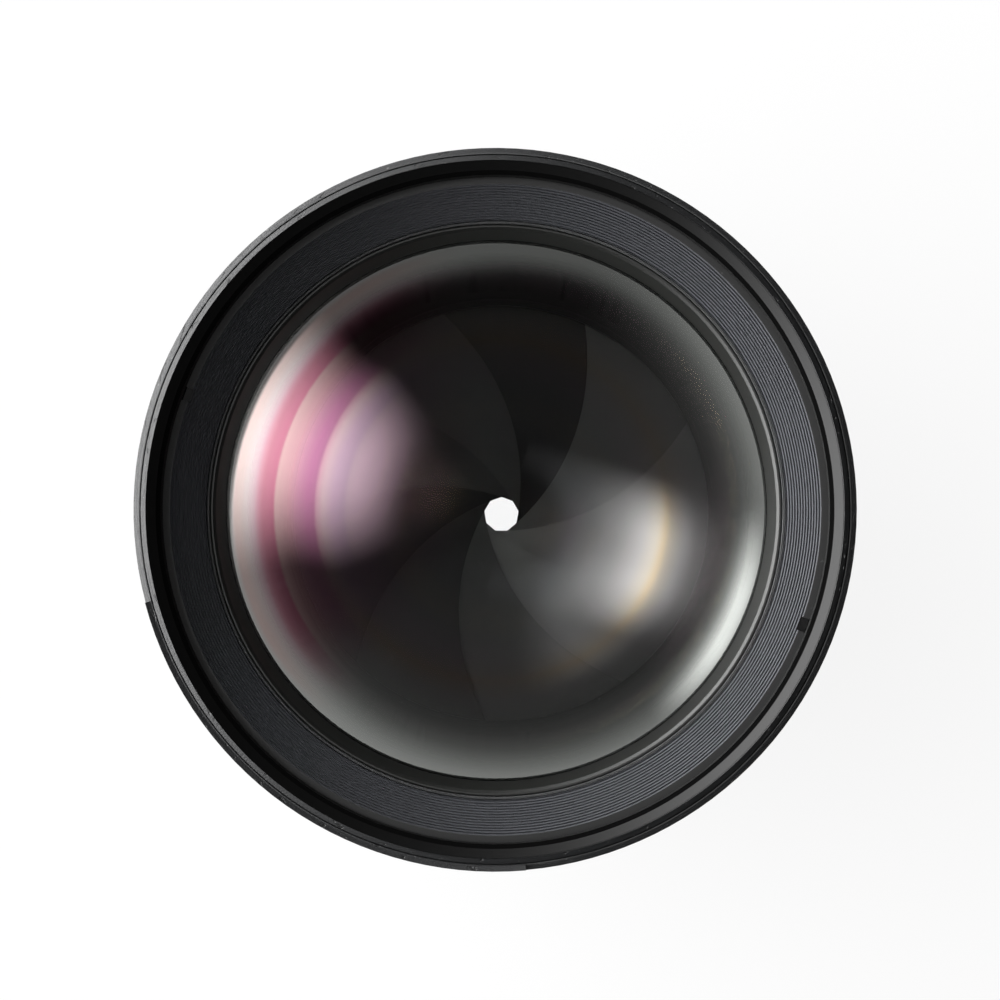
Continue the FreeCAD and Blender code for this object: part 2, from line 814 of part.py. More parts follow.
sleeve_rear = focus_rear + size["sleeve_setback"]
sleeve_front = keeper_rear - size["cam_gap"]
sleeve = ring("cam_sleeve", band(turn_bore, sleeve_outer, sleeve_rear, sleeve_front))
sleeve_middle = (turn_bore.number + sleeve_outer.number) / 2
climb = size["focus_travel"].number / (sleeve_middle * math.radians(size["focus_turn"].number))
slot_rise = slot_half * math.sqrt(1 + climb * climb)
cam_sketch = sketch_on(sleeve, "XZ_Plane", turn=size["collar_angle"])
draw_outline(cam_sketch, band(turn_bore - PAST, sleeve_outer + PAST,
                              collar_low - slot_rise, collar_low + slot_rise))
cam_slot = sleeve.newObject("PartDesign::SubtractiveHelix", "CamSlot")
cam_slot.Profile = cam_sketch
cam_slot.ReferenceAxis = (cam_sketch, ["V_Axis"])
cam_slot.Mode = 0
cam_slot.LeftHanded = True
cam_pitch = size["focus_travel"] * FULL_TURN / size["focus_turn"]
for name, value in (("Pitch", cam_pitch), ("Height", size["focus_travel"])):
    setattr(cam_slot, name, value.number)
    cam_slot.setExpression(name, value.formula)
far_angle = size["collar_angle"] - size["focus_turn"]
near_end = bore_outward(sleeve, size["collar_angle"], collar_low, slot_half)
far_end = bore_outward(sleeve, far_angle + FULL_TURN, collar_high, slot_half)
repeat(sleeve, [cam_slot, near_end, far_end], 3)

grip_low = focus_rear + size["grip_end"]
grip_high = focus_front - size["grip_end"]
focus_ring = ring("focus_ring", [
    (turn_bore, focus_rear),
    (focus_ring_outer - size["edge_break"], focus_rear),
    (focus_ring_outer, focus_rear + size["edge_break"]),
    (focus_ring_outer, grip_low),
    (grip_floor, grip_low),
    (grip_floor, grip_high),
    (focus_ring_outer, grip_high),
    (focus_ring_outer, focus_front - size["edge_break"]),
    (focus_ring_outer - size["edge_break"], focus_front),
    (sleeve_outer, focus_front),
    (sleeve_outer, sleeve_rear),
    (turn_bore, sleeve_rear),
])
stop_half = size["stop_screw_radius"] + size["fork_clearance"]
stop_swing = 2.0 * math.degrees(math.asin(stop_half.number / turn_bore.number))
revolved(focus_ring, band(turn_bore - PAST, sleeve_outer, focus_rear - PAST, sleeve_rear),
         span=size["focus_turn"] + stop_swing,
         turn=size["collar_angle"] + FULL_TURN - size["focus_turn"] / 2.0,
         cut=True, name="StopChannel")
grip_screw_level = grip_high - size["grip_screw_inset"]
for holder in (sleeve, focus_ring):
    grip_hole = bore_outward(holder, size["set_screw_angle"], grip_screw_level,
                             size["grip_screw_radius"])
    repeat(holder, [grip_hole], 3)


def ribbed_grip():
    """The rubber sleeve: straight ribs along the barrel, each with sloping flanks."""
    outer = focus_grip_outer.number
    root = outer - size["grip_rib_height"].number
    count = int(size["grip_ribs"].number)
    pitch = FULL_TURN / count
    rib_shares = ((0.06, root), (0.14, outer), (0.62, outer), (0.70, root))
    corners = []
    for rib in range(count):
        corners += [polar(radius, (rib + share) * pitch) for share, radius in rib_shares]
    low, high = grip_low.number, grip_high.number
    outline = Part.Face(Part.makePolygon(corners + corners[:1]))
    outline.translate(FreeCAD.Vector(0, 0, low))
    sleeve_solid = outline.extrude(FreeCAD.Vector(0, 0, high - low))
    hollow = Part.makeCylinder(grip_floor.number, high - low, FreeCAD.Vector(0, 0, low))
    return sleeve_solid.cut(hollow)


shaped("focus_grip", ribbed_grip())


# Sliding tube that carries both cells and the iris

unit_rear = iris_level - size["unit_tube_below_iris"]
unit_flange_top = barrel_rear + size["unit_flange_thickness"]
upstand_top = unit_flange_top + size["upstand_height"]
shelf_top = iris_level - size["iris_flange_drop"]
shelf_bore = unit_bore - size["shelf_width"]
unit_tube = ring("unit_tube", [
    (unit_bore, unit_rear),
    (unit_outer, unit_rear),
    (unit_outer, barrel_rear),
    (upstand_outer, barrel_rear),
    (upstand_outer, upstand_top),
    (cell_flange + size["seat_clearance"], upstand_top),
    (cell_flange + size["seat_clearance"], unit_flange_top),
    (unit_bore, unit_flange_top),
    (unit_bore, shelf_top),
    (shelf_bore, shelf_top),
    (shelf_bore, shelf_top - size["shelf_thickness"]),
    (unit_bore, shelf_top - size["shelf_thickness"]),
])
collar_thread = size["collar_bore"] - size["screw_clearance"]
barrel_screw_level = (unit_flange_top + upstand_top) / 2.0
cell_screw_circle = cell_flange - size["cell_screw_inset"]
repeat(unit_tube, [bore_outward(unit_tube, size["collar_angle"], collar_low, collar_thread)], 3)
repeat(unit_tube, [bore_outward(unit_tube, size["set_screw_angle"], barrel_screw_level,
                                size["barrel_screw_radius"])], 3)
repeat(unit_tube, [drill(unit_tube, cell_screw_circle, 0.0, size["cell_screw_radius"],
                         unit_flange_top, size["unit_flange_thickness"])], 3)


# Front barrel: bevelled rim with its flat stretch, groove, mouth, thread and hood groove

mouth_end = rim - size["mouth_depth"]
thread_top = mouth_end - size["thread_lead_in"]
thread_end = thread_top - size["filter_thread_length"]
relief_end = thread_end - size["thread_relief"]
groove_floor = rim - size["rim_groove_depth"]
bevel_top = rim - size["rim_bevel_top"]
bevel_bottom = rim - size["rim_bevel_bottom"]
barrel_bore = upstand_outer + size["seat_clearance"]
front_barrel = ring("front_barrel", [
    (barrel_bore, barrel_rear),
    (rim_radius - size["edge_break"], barrel_rear),
    (rim_radius, barrel_rear + size["edge_break"]),
    (rim_radius, bevel_bottom),
    (groove_outer, bevel_top),
    (groove_outer, groove_floor),
    (groove_inner, groove_floor),
    (groove_inner, rim),
    (mouth_radius, rim),
    (thread_radius, mouth_end),
    (thread_bore, thread_top),
    (thread_bore, thread_end),
    (thread_radius, thread_end),
    (thread_radius, relief_end),
    (thread_bore, relief_end),
    (thread_bore, upstand_top),
    (barrel_bore, upstand_top),
])
flat_middle = size["rim_flat_start_angle"] + size["rim_flat_angle"] / 2.0 + FULL_TURN
revolved(front_barrel,
         band(groove_outer, rim_radius, bevel_bottom - PAST, rim - size["rim_flat_drop"]),
         span=size["rim_flat_angle"], turn=flat_middle, name="RimFlat")
hood_groove_top = rim - size["hood_groove_setback"]
revolved(front_barrel,
         band(rim_radius - size["hood_groove_depth"], rim_radius + PAST,
              hood_groove_top - size["hood_groove_width"], hood_groove_top),
         cut=True, name="HoodGroove")
barrel_screw_hole = bore_outward(front_barrel, size["set_screw_angle"], barrel_screw_level,
                                 size["barrel_screw_head"] + size["screw_clearance"])
repeat(front_barrel, [barrel_screw_hole], 3)


# Ribbed baffle

lip_top = rim - size["lip_depth"]
cell_top = lip_top - size["baffle_depth"] - size["baffle_floor"]


def baffle_outline():
    """The lip, a small step, then a cone of sharp ribs that falls towards the glass."""
    count = int(size["baffle_ribs"].number)
    top = lip_top - size["lip_step"]
    run = (lip_inner - baffle_inner) / float(count)
    fall = (size["baffle_depth"] - size["lip_step"]) / float(count)
    points = [(lip_outer, cell_top), (lip_outer, lip_top), (lip_inner, lip_top), (lip_inner, top)]
    for rib in range(count):
        radius = lip_inner - run * float(rib)
        floor = top - fall * float(rib + 1)
        points.append((radius - run * size["rib_run_share"], floor - size["rib_valley"]))
        points.append((radius - run, floor + size["rib_crest"]))
    points.append((baffle_inner, cell_top))
    return points


baffle = ring("ribbed_baffle", baffle_outline())
notch_sketch = sketch_on(baffle, "XY_Plane", turn=size["notch_angle"] + FULL_TURN, rise=lip_top)
notch_half = size["notch_width"] / 2.0
draw_outline(notch_sketch, band(lip_inner - size["edge_break"], lip_outer + PAST,
                                -notch_half, notch_half))
repeat(baffle, [pocket(baffle, notch_sketch, size["notch_depth"])], 2)


# Front cell and the two rings that hold its glass

first_bore = size["first_edge_radius"] + size["seat_clearance"]
first_seat = first_rear - sag(size["first_rear_curve"], size["first_edge_radius"])
first_rim = front_vertex - sag(size["first_front_curve"], size["first_edge_radius"])
second_bore = size["second_edge_radius"] + size["seat_clearance"]
second_seat = second_rear - sag(size["second_rear_curve"], size["second_edge_radius"])
second_rim = second_front - sag(size["second_front_curve"], size["second_edge_radius"])
second_step = second_rim + size["edge_break"]
third_bore = size["third_edge_radius"] + size["seat_clearance"]
third_seat = third_rear - sag(size["third_rear_curve"], size["third_clear_radius"])
third_opening = size["third_clear_radius"] + size["third_lip"]
cell_lip_rear = third_seat - size["cell_lip_thickness"]
clamp_top = shelf_top + size["iris_flange_thickness"]
cell_body_outer = unit_bore - size["seat_clearance"]
cell_skirt_bore = cell_body_outer - size["cell_skirt_wall"]
cell_flange_top = unit_flange_top + size["cell_flange_thickness"]
retainer_bore = size["first_edge_radius"] + size["retainer_land"]
front_cell = ring("front_cell", [
    (third_bore, second_seat),
    (third_bore, third_seat),
    (third_opening, third_seat),
    (third_opening, cell_lip_rear),
    (cell_skirt_bore, cell_lip_rear),
    (cell_skirt_bore, clamp_top),
    (cell_body_outer, clamp_top),
    (cell_body_outer, unit_flange_top),
    (cell_flange, unit_flange_top),
    (cell_flange, cell_flange_top),
    (retainer_bore + size["front_cell_wall"], cell_flange_top),
    (retainer_bore + size["front_cell_wall"], cell_top),
    (retainer_bore, cell_top),
    (retainer_bore, first_rim),
    (first_bore, first_rim),
    (first_bore, first_seat),
    (second_retainer_outer, first_seat),
    (second_retainer_outer, second_step),
    (second_bore, second_step),
    (second_bore, second_seat),
])
repeat(front_cell, [drill(front_cell, cell_screw_circle, 0.0,
                          size["cell_screw_radius"] + size["screw_clearance"],
                          cell_flange_top, size["cell_flange_thickness"])], 3)

retainer_outer = retainer_bore - size["seat_clearance"]
retainer_inner = baffle_inner - size["retainer_land"]
retainer_top = cell_top + size["retainer_rise"]
retainer_opening = size["first_edge_radius"] - size["retainer_face"]
over_glass = size["retainer_clearance"]
opening_rim = front_vertex - sag(size["first_front_curve"], retainer_opening) + over_glass
ring("front_retainer", [
    (retainer_opening, opening_rim),
    (size["first_edge_radius"] - over_glass, first_rim + 2.0 * over_glass),
    (retainer_outer, first_rim + 2.0 * over_glass),
    (retainer_outer, cell_top),
    (retainer_inner, cell_top),
    (retainer_inner, retainer_top - size["retainer_bevel"]),
    (retainer_inner - size["retainer_bevel"], retainer_top),
    (retainer_inner - 2.0 * size["retainer_bevel"], retainer_top),
    (retainer_inner - 4.0 * size["retainer_bevel"], retainer_top - 2.0 * size["retainer_bevel"]),
    (retainer_opening, opening_rim + 2.0 * over_glass),
])

second_opening = size["second_edge_radius"] - size["rear_land"]
second_face = second_front - sag(size["second_front_curve"], second_opening) + over_glass
second_retainer_top = second_step + size["second_retainer_length"]
ring("second_retainer", [
    (second_opening, second_face),
    (size["second_edge_radius"] + over_glass, second_step),
    (second_retainer_outer - size["seat_clearance"], second_step),
    (second_retainer_outer - size["seat_clearance"], second_retainer_top),
    (second_opening + size["rear_land"], second_retainer_top),
    (second_opening, second_face + size["edge_break"]),
])


# Iris: how far each blade turns, where its pivot stands, and the room that the stack takes

blade_count = int(size["blades"].number)
blade_angle = FULL_TURN / blade_count
inner_arc = blade_inner.number
outer_arc = inner_arc + size["blade_width"].number
middle_arc = (inner_arc + outer_arc) / 2
pivot_reach = pivot_circle.number
blade_turn = 2 * math.degrees(
    math.asin((inner_arc - size["hole_apothem"].number) / (2 * pivot_reach))
)
nearest_angle = 90 - blade_turn / 2
first_pivot = size["hole_side_angle"].number - nearest_angle - blade_turn
end_swing = math.degrees(math.asin(size["blade_width"].number / 2 / middle_arc))
rise_per_degree = size["blade_pitch"].number / FULL_TURN
lowest_blade = -rise_per_degree * (nearest_angle + end_swing)
highest_blade = rise_per_degree * (size["blade_sweep_angle"].number + end_swing - nearest_angle)

cover_rear = iris_level + highest_blade + size["blade_thickness"] + size["iris_cover_clearance"]
plate_front = iris_level + lowest_blade - size["blade_clearance"]
plate_rear = plate_front - size["iris_plate_thickness"]
cam_front = plate_rear - size["cam_gap"]
cam_rear = cam_front - size["iris_plate_thickness"]
skirt_rear = cam_rear - size["iris_skirt_length"]
skirt_bore = cam_ring_outer + size["turn_clearance"]
plate_bore = blade_inner - size["iris_plate_inset"]
iris_flange_outer = unit_bore - size["cam_gap"]
ring("iris_housing", [
    (plate_bore, plate_rear),
    (skirt_bore, plate_rear),
    (skirt_bore, skirt_rear),
    (skirt_outer, skirt_rear),
    (skirt_outer, plate_rear),
    (iris_wall_outer, plate_rear),
    (iris_wall_outer, shelf_top),
    (iris_flange_outer, shelf_top),
    (iris_flange_outer, clamp_top),
    (iris_wall_outer, clamp_top),
    (iris_wall_outer, cover_rear),
    (cavity_radius, cover_rear),
    (cavity_radius, plate_front),
    (plate_bore, plate_front),
])
lug_window = size["aperture_turn"] + size["drive_lug_angle"] + 4.0 * size["fork_window_margin"]
revolved(pieces["iris_housing"],
         band(skirt_bore - PAST, skirt_outer + PAST, cam_rear - size["fork_clearance"], plate_rear),
         span=lug_window, turn=window_middle, cut=True, name="LugWindow")


def drive_stud(turned):
    """Where the first blade's drive stud stands once the blade has turned from its open place."""
    pivot = polar(pivot_reach, 0)
    arm = polar(drive_stud_circle.number, size["drive_stud_angle"].number) - pivot
    start = math.degrees(math.atan2(arm.y, arm.x))
    return pivot + polar(arm.Length, start + turned), arm.Length, start


def round_the_iris(tools):
    """Each tool once for every blade, from the first pivot on."""
    return Part.makeCompound([around(tool, blade_count, first_pivot) for tool in tools])


def iris_windows():
    """The pivot hole and the curved window for the drive stud, through the base plate."""
    low, high = plate_rear.number - PAST, plate_front.number + PAST
    stud = size["stud_radius"].number + size["stud_clearance"].number
    pivot = polar(pivot_reach, 0)
    _, reach, start = drive_stud(0)
    spare = size["window_overrun"].number
    hole = Part.makeCylinder(stud, high - low, pivot + FreeCAD.Vector(0, 0, low))
    window = slot_cutter(pivot, reach, start - spare, start + blade_turn + spare,
                         stud + size["window_clearance"].number, low, high)
    return round_the_iris([hole, window])


cut_away("iris_housing", iris_windows())

cover_top = cover_rear + size["iris_cover_thickness"]
ring("iris_cover", [
    (size["iris_opening"], cover_rear),
    (iris_wall_outer, cover_rear),
    (iris_wall_outer, cover_top),
    (size["iris_opening"] + size["iris_cover_bevel"], cover_top),
    (size["iris_opening"], cover_top - size["iris_cover_bevel"]),
])


# Cam ring, its drive lug and pin, and the keeper ring behind it

cam_bore = blade_inner + size["cam_ring_inset"]
pin_circle = (skirt_outer + unit_bore) / 2.0
cam_ring = ring("iris_cam_ring", band(cam_bore, cam_ring_outer, cam_rear, cam_front))
revolved(cam_ring,
         band(cam_ring_outer - PAST, pin_circle + size["drive_pin_radius"], cam_rear, cam_front),
         span=size["drive_lug_angle"], turn=size["fork_angle"] + FULL_TURN, name="DriveLug")


def cam_point(share):
    """The drive stud as the cam ring sees it, at a share of the ring's turn."""
    point, _, _ = drive_stud(blade_turn * (1 - share))
    angle = math.degrees(math.atan2(point.y, point.x))
    return polar(point.Length, angle - size["aperture_turn"].number * share)


def cam_slots():
    """One curved slot for each blade: the arc through the stud's places at the ends and middle."""
    first, half, last = (cam_point(share) for share in (0.0, 0.5, 1.0))
    path = Part.Arc(first, half, last).toShape().Curve
    begin, end = (
        math.degrees(math.atan2((point - path.Center).y, (point - path.Center).x))
        for point in (last, first)
    )
    if end < begin:
        end += FULL_TURN
    spare = size["cam_slot_overrun"].number
    width = size["stud_radius"].number + size["cam_slot_clearance"].number
    slot = slot_cutter(path.Center, path.Radius, begin - spare, end + spare, width,
                       cam_rear.number - PAST, cam_front.number + PAST)
    return round_the_iris([slot])


cut_away("iris_cam_ring", cam_slots())

keeper_front = cam_rear - size["cam_gap"]
keeper_plate_rear = keeper_front - size["keeper_plate_thickness"]
rear_cell_outer = size["rear_edge_radius"] + size["seat_clearance"] + size["rear_cell_wall"]
keeper_bore = rear_cell_outer + size["edge_break"]
keeper_step = cam_ring_outer - size["keeper_plate_width"]
ring("iris_keeper", [
    (keeper_bore, keeper_plate_rear),
    (keeper_step, keeper_plate_rear),
    (keeper_step, skirt_rear),
    (cam_ring_outer + size["turn_clearance"] / 2.0, skirt_rear),
    (cam_ring_outer + size["turn_clearance"] / 2.0, keeper_front),
    (keeper_bore, keeper_front),
])

fork_high = unit_rear - size["fork_setback"]
fork_low = fork_high - size["fork_plate_thickness"]
pin_low = fork_low - size["focus_travel"] - size["fork_clearance"]
shaped("iris_drive_pin", Part.makeCylinder(
    size["drive_pin_radius"].number,
    (cam_rear - pin_low).number,
    polar(pin_circle.number, size["fork_angle"].number, pin_low.number),
))


# Iris blades

def blade_outline():
    """A crescent with round ends, seen along the axis, with the blades fully open."""
    span = size["blade_sweep_angle"].number
    half_width = size["blade_width"].number / 2
    back = Part.Arc(polar(outer_arc, 0), polar(outer_arc, span / 2), polar(outer_arc, span))
    edge = Part.Arc(polar(inner_arc, span), polar(inner_arc, span / 2), polar(inner_arc, 0))
    tip = polar(middle_arc, span) + polar(half_width, span + 90)
    heel = polar(middle_arc, 0) + polar(half_width, -90)
    tip_end = Part.Arc(polar(outer_arc, span), tip, polar(inner_arc, span))
    heel_end = Part.Arc(polar(inner_arc, 0), heel, polar(outer_arc, 0))
    return Part.Face(Part.Wire([c.toShape() for c in (back, tip_end, edge, heel_end)]))


def climbing_sheet(spare=1.0):
    """A thin sheet that climbs steadily about the axis, a little larger than one blade."""
    first = -end_swing - spare
    span = size["blade_sweep_angle"].number + 2 * (end_swing + spare)
    pitch = size["blade_pitch"].number
    edges = [
        Part.makeHelix(pitch, pitch * span / FULL_TURN, radius).Edges[0]
        for radius in (inner_arc - spare, outer_arc + spare)
    ]
    sheet_face = Part.makeRuledSurface(*edges)
    solid = sheet_face.extrude(FreeCAD.Vector(0, 0, size["blade_thickness"].number))
    solid.rotate(ORIGIN, AXIS, first)
    solid.translate(FreeCAD.Vector(0, 0, rise_per_degree * (first - nearest_angle)))
    return solid


def iris_blade():
    """One blade at its stopped-down place, for a pivot on the +X side.

    Spring steel that climbs steadily along its length, as the blades do in the stack, so
    that each tip lies over the next blades' heels all the way round.
    """
    tall = size["blade_pitch"].number
    outline = blade_outline()
    outline.translate(FreeCAD.Vector(0, 0, -tall / 2))
    blade = climbing_sheet().common(outline.extrude(FreeCAD.Vector(0, 0, tall)))
    pivot = polar(pivot_reach, 0)
    drive, _, _ = drive_stud(0)
    studs = (
        (pivot, 0.0, plate_rear + size["stud_foot_clearance"]),
        (drive, size["drive_stud_angle"].number, cam_rear + size["stud_foot_clearance"]),
    )
    above_sheet = size["blade_thickness"].number + size["stud_head"].number
    for point, angle, foot in studs:
        low = (foot - iris_level).number
        top = rise_per_degree * (angle - nearest_angle) + above_sheet
        base = FreeCAD.Vector(point.x, point.y, low)
        blade = blade.fuse(Part.makeCylinder(size["stud_radius"].number, top - low, base))
    blade.rotate(pivot, AXIS, blade_turn)
    blade.translate(FreeCAD.Vector(0, 0, iris_level.number))
    return blade.Solids[0]


first_blade = iris_blade()
for number in range(blade_count):
    placed = first_blade.copy()
    placed.rotate(ORIGIN, AXIS, first_pivot + number * blade_angle)
    shaped(f"blade_{number + 1}", placed)


# Rear cell and its glass seats

rear_bore = size["rear_edge_radius"] + size["seat_clearance"]
rear_land_radius = size["rear_edge_radius"] - size["rear_land"]
fourth_rim = fourth_front + sag(size["fourth_front_curve"], size["fourth_clear_radius"])
fifth_rim = fifth_rear + sag(size["fifth_rear_curve"], rear_land_radius)
sixth_seat = sixth_front - sag(size["sixth_front_curve"], rear_land_radius)
sixth_rim = sixth_rear + sag(size["sixth_rear_curve"], rear_land_radius)
cell_rear = sixth_rim - size["rear_retainer_length"]
rear_flange_rear = skirt_rear - size["shelf_thickness"]
rear_opening = size["fourth_clear_radius"] + size["edge_break"]
rear_lip_seat = fourth_rim + size["shim"]
ring("rear_cell", [
    (rear_bore, cell_rear),
    (rear_cell_outer, cell_rear),
    (rear_cell_outer, rear_flange_rear),
    (skirt_outer, rear_flange_rear),
    (skirt_outer, skirt_rear),
    (rear_cell_outer, skirt_rear),
    (rear_bore + size["edge_break"], rear_lip_seat + size["rear_lip"]),
    (rear_opening, rear_lip_seat + size["rear_lip"]),
    (rear_opening, rear_lip_seat),
    (rear_bore, rear_lip_seat),
])
ring("rear_spacer", band(rear_land_radius, size["rear_edge_radius"],
                         sixth_seat + size["shim"], fifth_rim - size["shim"]))
ring("rear_retainer", band(rear_land_radius, size["rear_edge_radius"],
                           cell_rear, sixth_rim - size["shim"]))


# Aperture ring, and the fork that reaches in to the iris

grip_end = aperture_rear + size["aperture_grip_length"]
scallop_end = grip_end - size["aperture_grip_taper"]
aperture = ring("aperture_ring", [
    (turn_bore, aperture_rear),
    (aperture_grip_outer - size["edge_break"], aperture_rear),
    (aperture_grip_outer, aperture_rear + size["edge_break"]),
    (aperture_grip_outer, scallop_end),
    (aperture_ring_outer, grip_end),
    (aperture_ring_outer, aperture_front),
    (turn_bore, aperture_front),
])
scallop = drill(aperture, aperture_grip_outer + size["scallop_offset"], 0.0,
                size["scallop_radius"], scallop_end, size["aperture_grip_length"])
repeat(aperture, [scallop], int(size["aperture_scallops"].number))
dimple = drill(aperture, 0.0, detent_circle, size["dimple_radius"], aperture_front,
               size["dimple_depth"])
repeat(aperture, [dimple], int(size["detent_stops"].number), span=size["aperture_turn"])

fork_turn = size["fork_angle"] + FULL_TURN
screw_level = (window_low + window_high) / 2.0
screw_places = [fork_turn + side * size["fork_screw_spacing"] for side in (-0.5, 0.5)]
arm_outer = main_bore - size["seat_clearance"] - size["edge_break"]
arm_inner = arm_outer - size["fork_thickness"]
plate_inner = pin_circle - size["fork_depth"]
foot_low = window_low + size["fork_clearance"]
foot_high = window_high - size["fork_clearance"]
fork = doc.addObject("PartDesign::Body", "aperture_fork")
revolved(fork, [
    (arm_inner, foot_low),
    (turn_bore, foot_low),
    (turn_bore, foot_high),
    (arm_outer, foot_high),
    (arm_outer, fork_high),
    (plate_inner, fork_high),
    (plate_inner, fork_low),
    (arm_inner, fork_low),
], span=size["fork_width"], turn=fork_turn)
slot_sketch = sketch_on(fork, "XY_Plane", turn=fork_turn, rise=fork_high)
pin_gap = size["drive_pin_radius"] + size["turn_clearance"]
draw_outline(slot_sketch, band(plate_inner - PAST, pin_circle + pin_gap, -pin_gap, pin_gap))
pocket(fork, slot_sketch, size["fork_plate_thickness"])
for holder in (aperture, fork):
    for angle in screw_places:
        bore_outward(holder, angle, screw_level, size["fork_screw_radius"])
keep("aperture_fork", fork)


# Fasteners and small pieces

def radial_screws(label, count, first, level, shank, foot, seat, head, top):
    screw = aimed_outward(screw_solid(shank, foot, seat, head, top), 0.0, level)
    shaped(label, around(screw, count, first.number))


def axial_screws(label, count, circle, *outline):
    screw = screw_solid(*outline)
    screw.translate(FreeCAD.Vector(circle.number, 0, 0))
    shaped(label, around(screw, count))


tip_gap = size["screw_clearance"]
mount_screw = turned_solid([
    (0, tip_gap), (size["mount_screw_head"], tip_gap),
    (size["mount_screw_head"], size["mount_screw_sink"]),
    (size["mount_screw_radius"], size["mount_screw_sink"]),
    (size["mount_screw_radius"], seat_top - tip_gap), (0, seat_top - tip_gap),
])
mount_screw.translate(FreeCAD.Vector(screw_circle.number, 0, 0))
shaped("mount_screws", around(mount_screw, mount_screws))

axial_screws("cell_screws", 3, cell_screw_circle, size["cell_screw_radius"],
             unit_flange_top - size["screw_bite"], cell_flange_top, size["cell_screw_head"],
             cell_flange_top + size["screw_head_height"])

collar_foot = unit_outer + size["screw_clearance"]
collar_top = sleeve_outer - size["cam_gap"]
collar_step = collar_top - size["collar_sink"]
collar = turned_solid([
    (size["collar_bore"], collar_foot),
    (size["collar_radius"], collar_foot),
    (size["collar_radius"], collar_top),
    (size["collar_head_radius"], collar_top),
    (size["collar_head_radius"], collar_step),
    (size["collar_bore"], collar_step),
])
shaped("guide_collars", around(aimed_outward(collar, 0.0, collar_low), 3,
                               size["collar_angle"].number))
radial_screws("collar_screws", 3, size["collar_angle"], collar_low, collar_thread,
              unit_bore + size["cam_gap"], collar_step,
              size["collar_head_radius"] - size["cam_gap"], collar_top - size["cam_gap"])
grip_screw_top = grip_floor - size["screw_clearance"]
radial_screws("grip_screws", 3, size["set_screw_angle"], grip_screw_level,
              size["grip_screw_radius"],
              grip_screw_top - size["grip_screw_length"], grip_screw_top - size["edge_break"],
              size["grip_screw_radius"], grip_screw_top)
radial_screws("barrel_screws", 3, size["set_screw_angle"], barrel_screw_level,
              size["barrel_screw_radius"],
              upstand_outer - size["screw_bite"], upstand_outer, size["barrel_screw_head"],
              rim_radius - size["edge_break"])
radial_screws("stop_screw", 1, size["collar_angle"], stop_level, size["stop_screw_shank"],
              main_bore + size["fork_clearance"], main_outer + size["screw_clearance"],
              size["stop_screw_radius"], sleeve_outer - size["fork_clearance"])

fork_screw = screw_solid(size["fork_screw_radius"], arm_outer - size["screw_bite"], turn_bore,
                         size["fork_screw_radius"], aperture_ring_outer - size["edge_break"])
shaped("fork_screws", Part.makeCompound([
    aimed_outward(fork_screw, angle.number, screw_level) for angle in screw_places
]))

ball_radius = size["detent_ball_radius"]
ball_level = aperture_front + ball_radius + size["shim"] / 3.0
plunger_low = ball_level + ball_radius + size["shim"]
plunger_radius = ball_radius + size["shim"] / 3.0
plunger_high = scale_rear + size["detent_hole_depth"]
shaped("detent_ball", Part.makeSphere(
    ball_radius.number, FreeCAD.Vector(0, detent_circle.number, ball_level.number)
))
plunger = turned_solid(band(0, plunger_radius, plunger_low, plunger_high))
plunger.translate(FreeCAD.Vector(0, detent_circle.number, 0))
shaped("detent_plunger", plunger)


def index_dot():
    """The enamel dot on the rear cover's cone, for lining the lens up with a camera."""
    taper = math.degrees(math.atan2(
        aperture_ring_outer.number - cover_rear_outer.number, size["cover_taper"].number
    ))
    depth = size["index_dot_depth"].number
    dot = Part.makeCylinder(size["index_dot_radius"].number,
                            depth + size["index_dot_height"].number,
                            FreeCAD.Vector(0, 0, -depth))
    dot.rotate(ORIGIN, FreeCAD.Vector(0, 1, 0), 90 + taper)
    dot.rotate(ORIGIN, AXIS, 90)
    middle = (cover_rear_outer + aperture_ring_outer) / 2.0
    level = flange_top + size["cover_taper"] / 2.0
    dot.translate(FreeCAD.Vector(0, middle.number, level.number))
    return dot


cut_away("rear_cover", index_dot())
shaped("mount_index_dot", index_dot())


# Check every object, then write one file for each sub-part

doc.recompute()
for thing in doc.Objects:
    if "Invalid" in thing.State or "Error" in thing.State:
        raise RuntimeError(f"{thing.Label} failed to build")
for label, thing in pieces.items():
    if thing.Shape.isNull() or not thing.Shape.isValid() or not thing.Shape.Solids:
        raise RuntimeError(f"{label} has no sound shape")

os.makedirs("parts", exist_ok=True)
for label, thing in pieces.items():
    thing.Shape.exportStep(f"parts/{label}.step")
print(f"{len(pieces)} sub-parts written")
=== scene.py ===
# %% [markdown]
# This file dresses a telephoto prime lens that was built as a CAD model. The model is
# loaded as a fixed frame, and every piece keeps its place in it. What is added here are
# the finishes, the fine ribs and the sealing ring round the front glass, the filter
# thread, the figures on the rings, a floor, the studio's light and a camera.

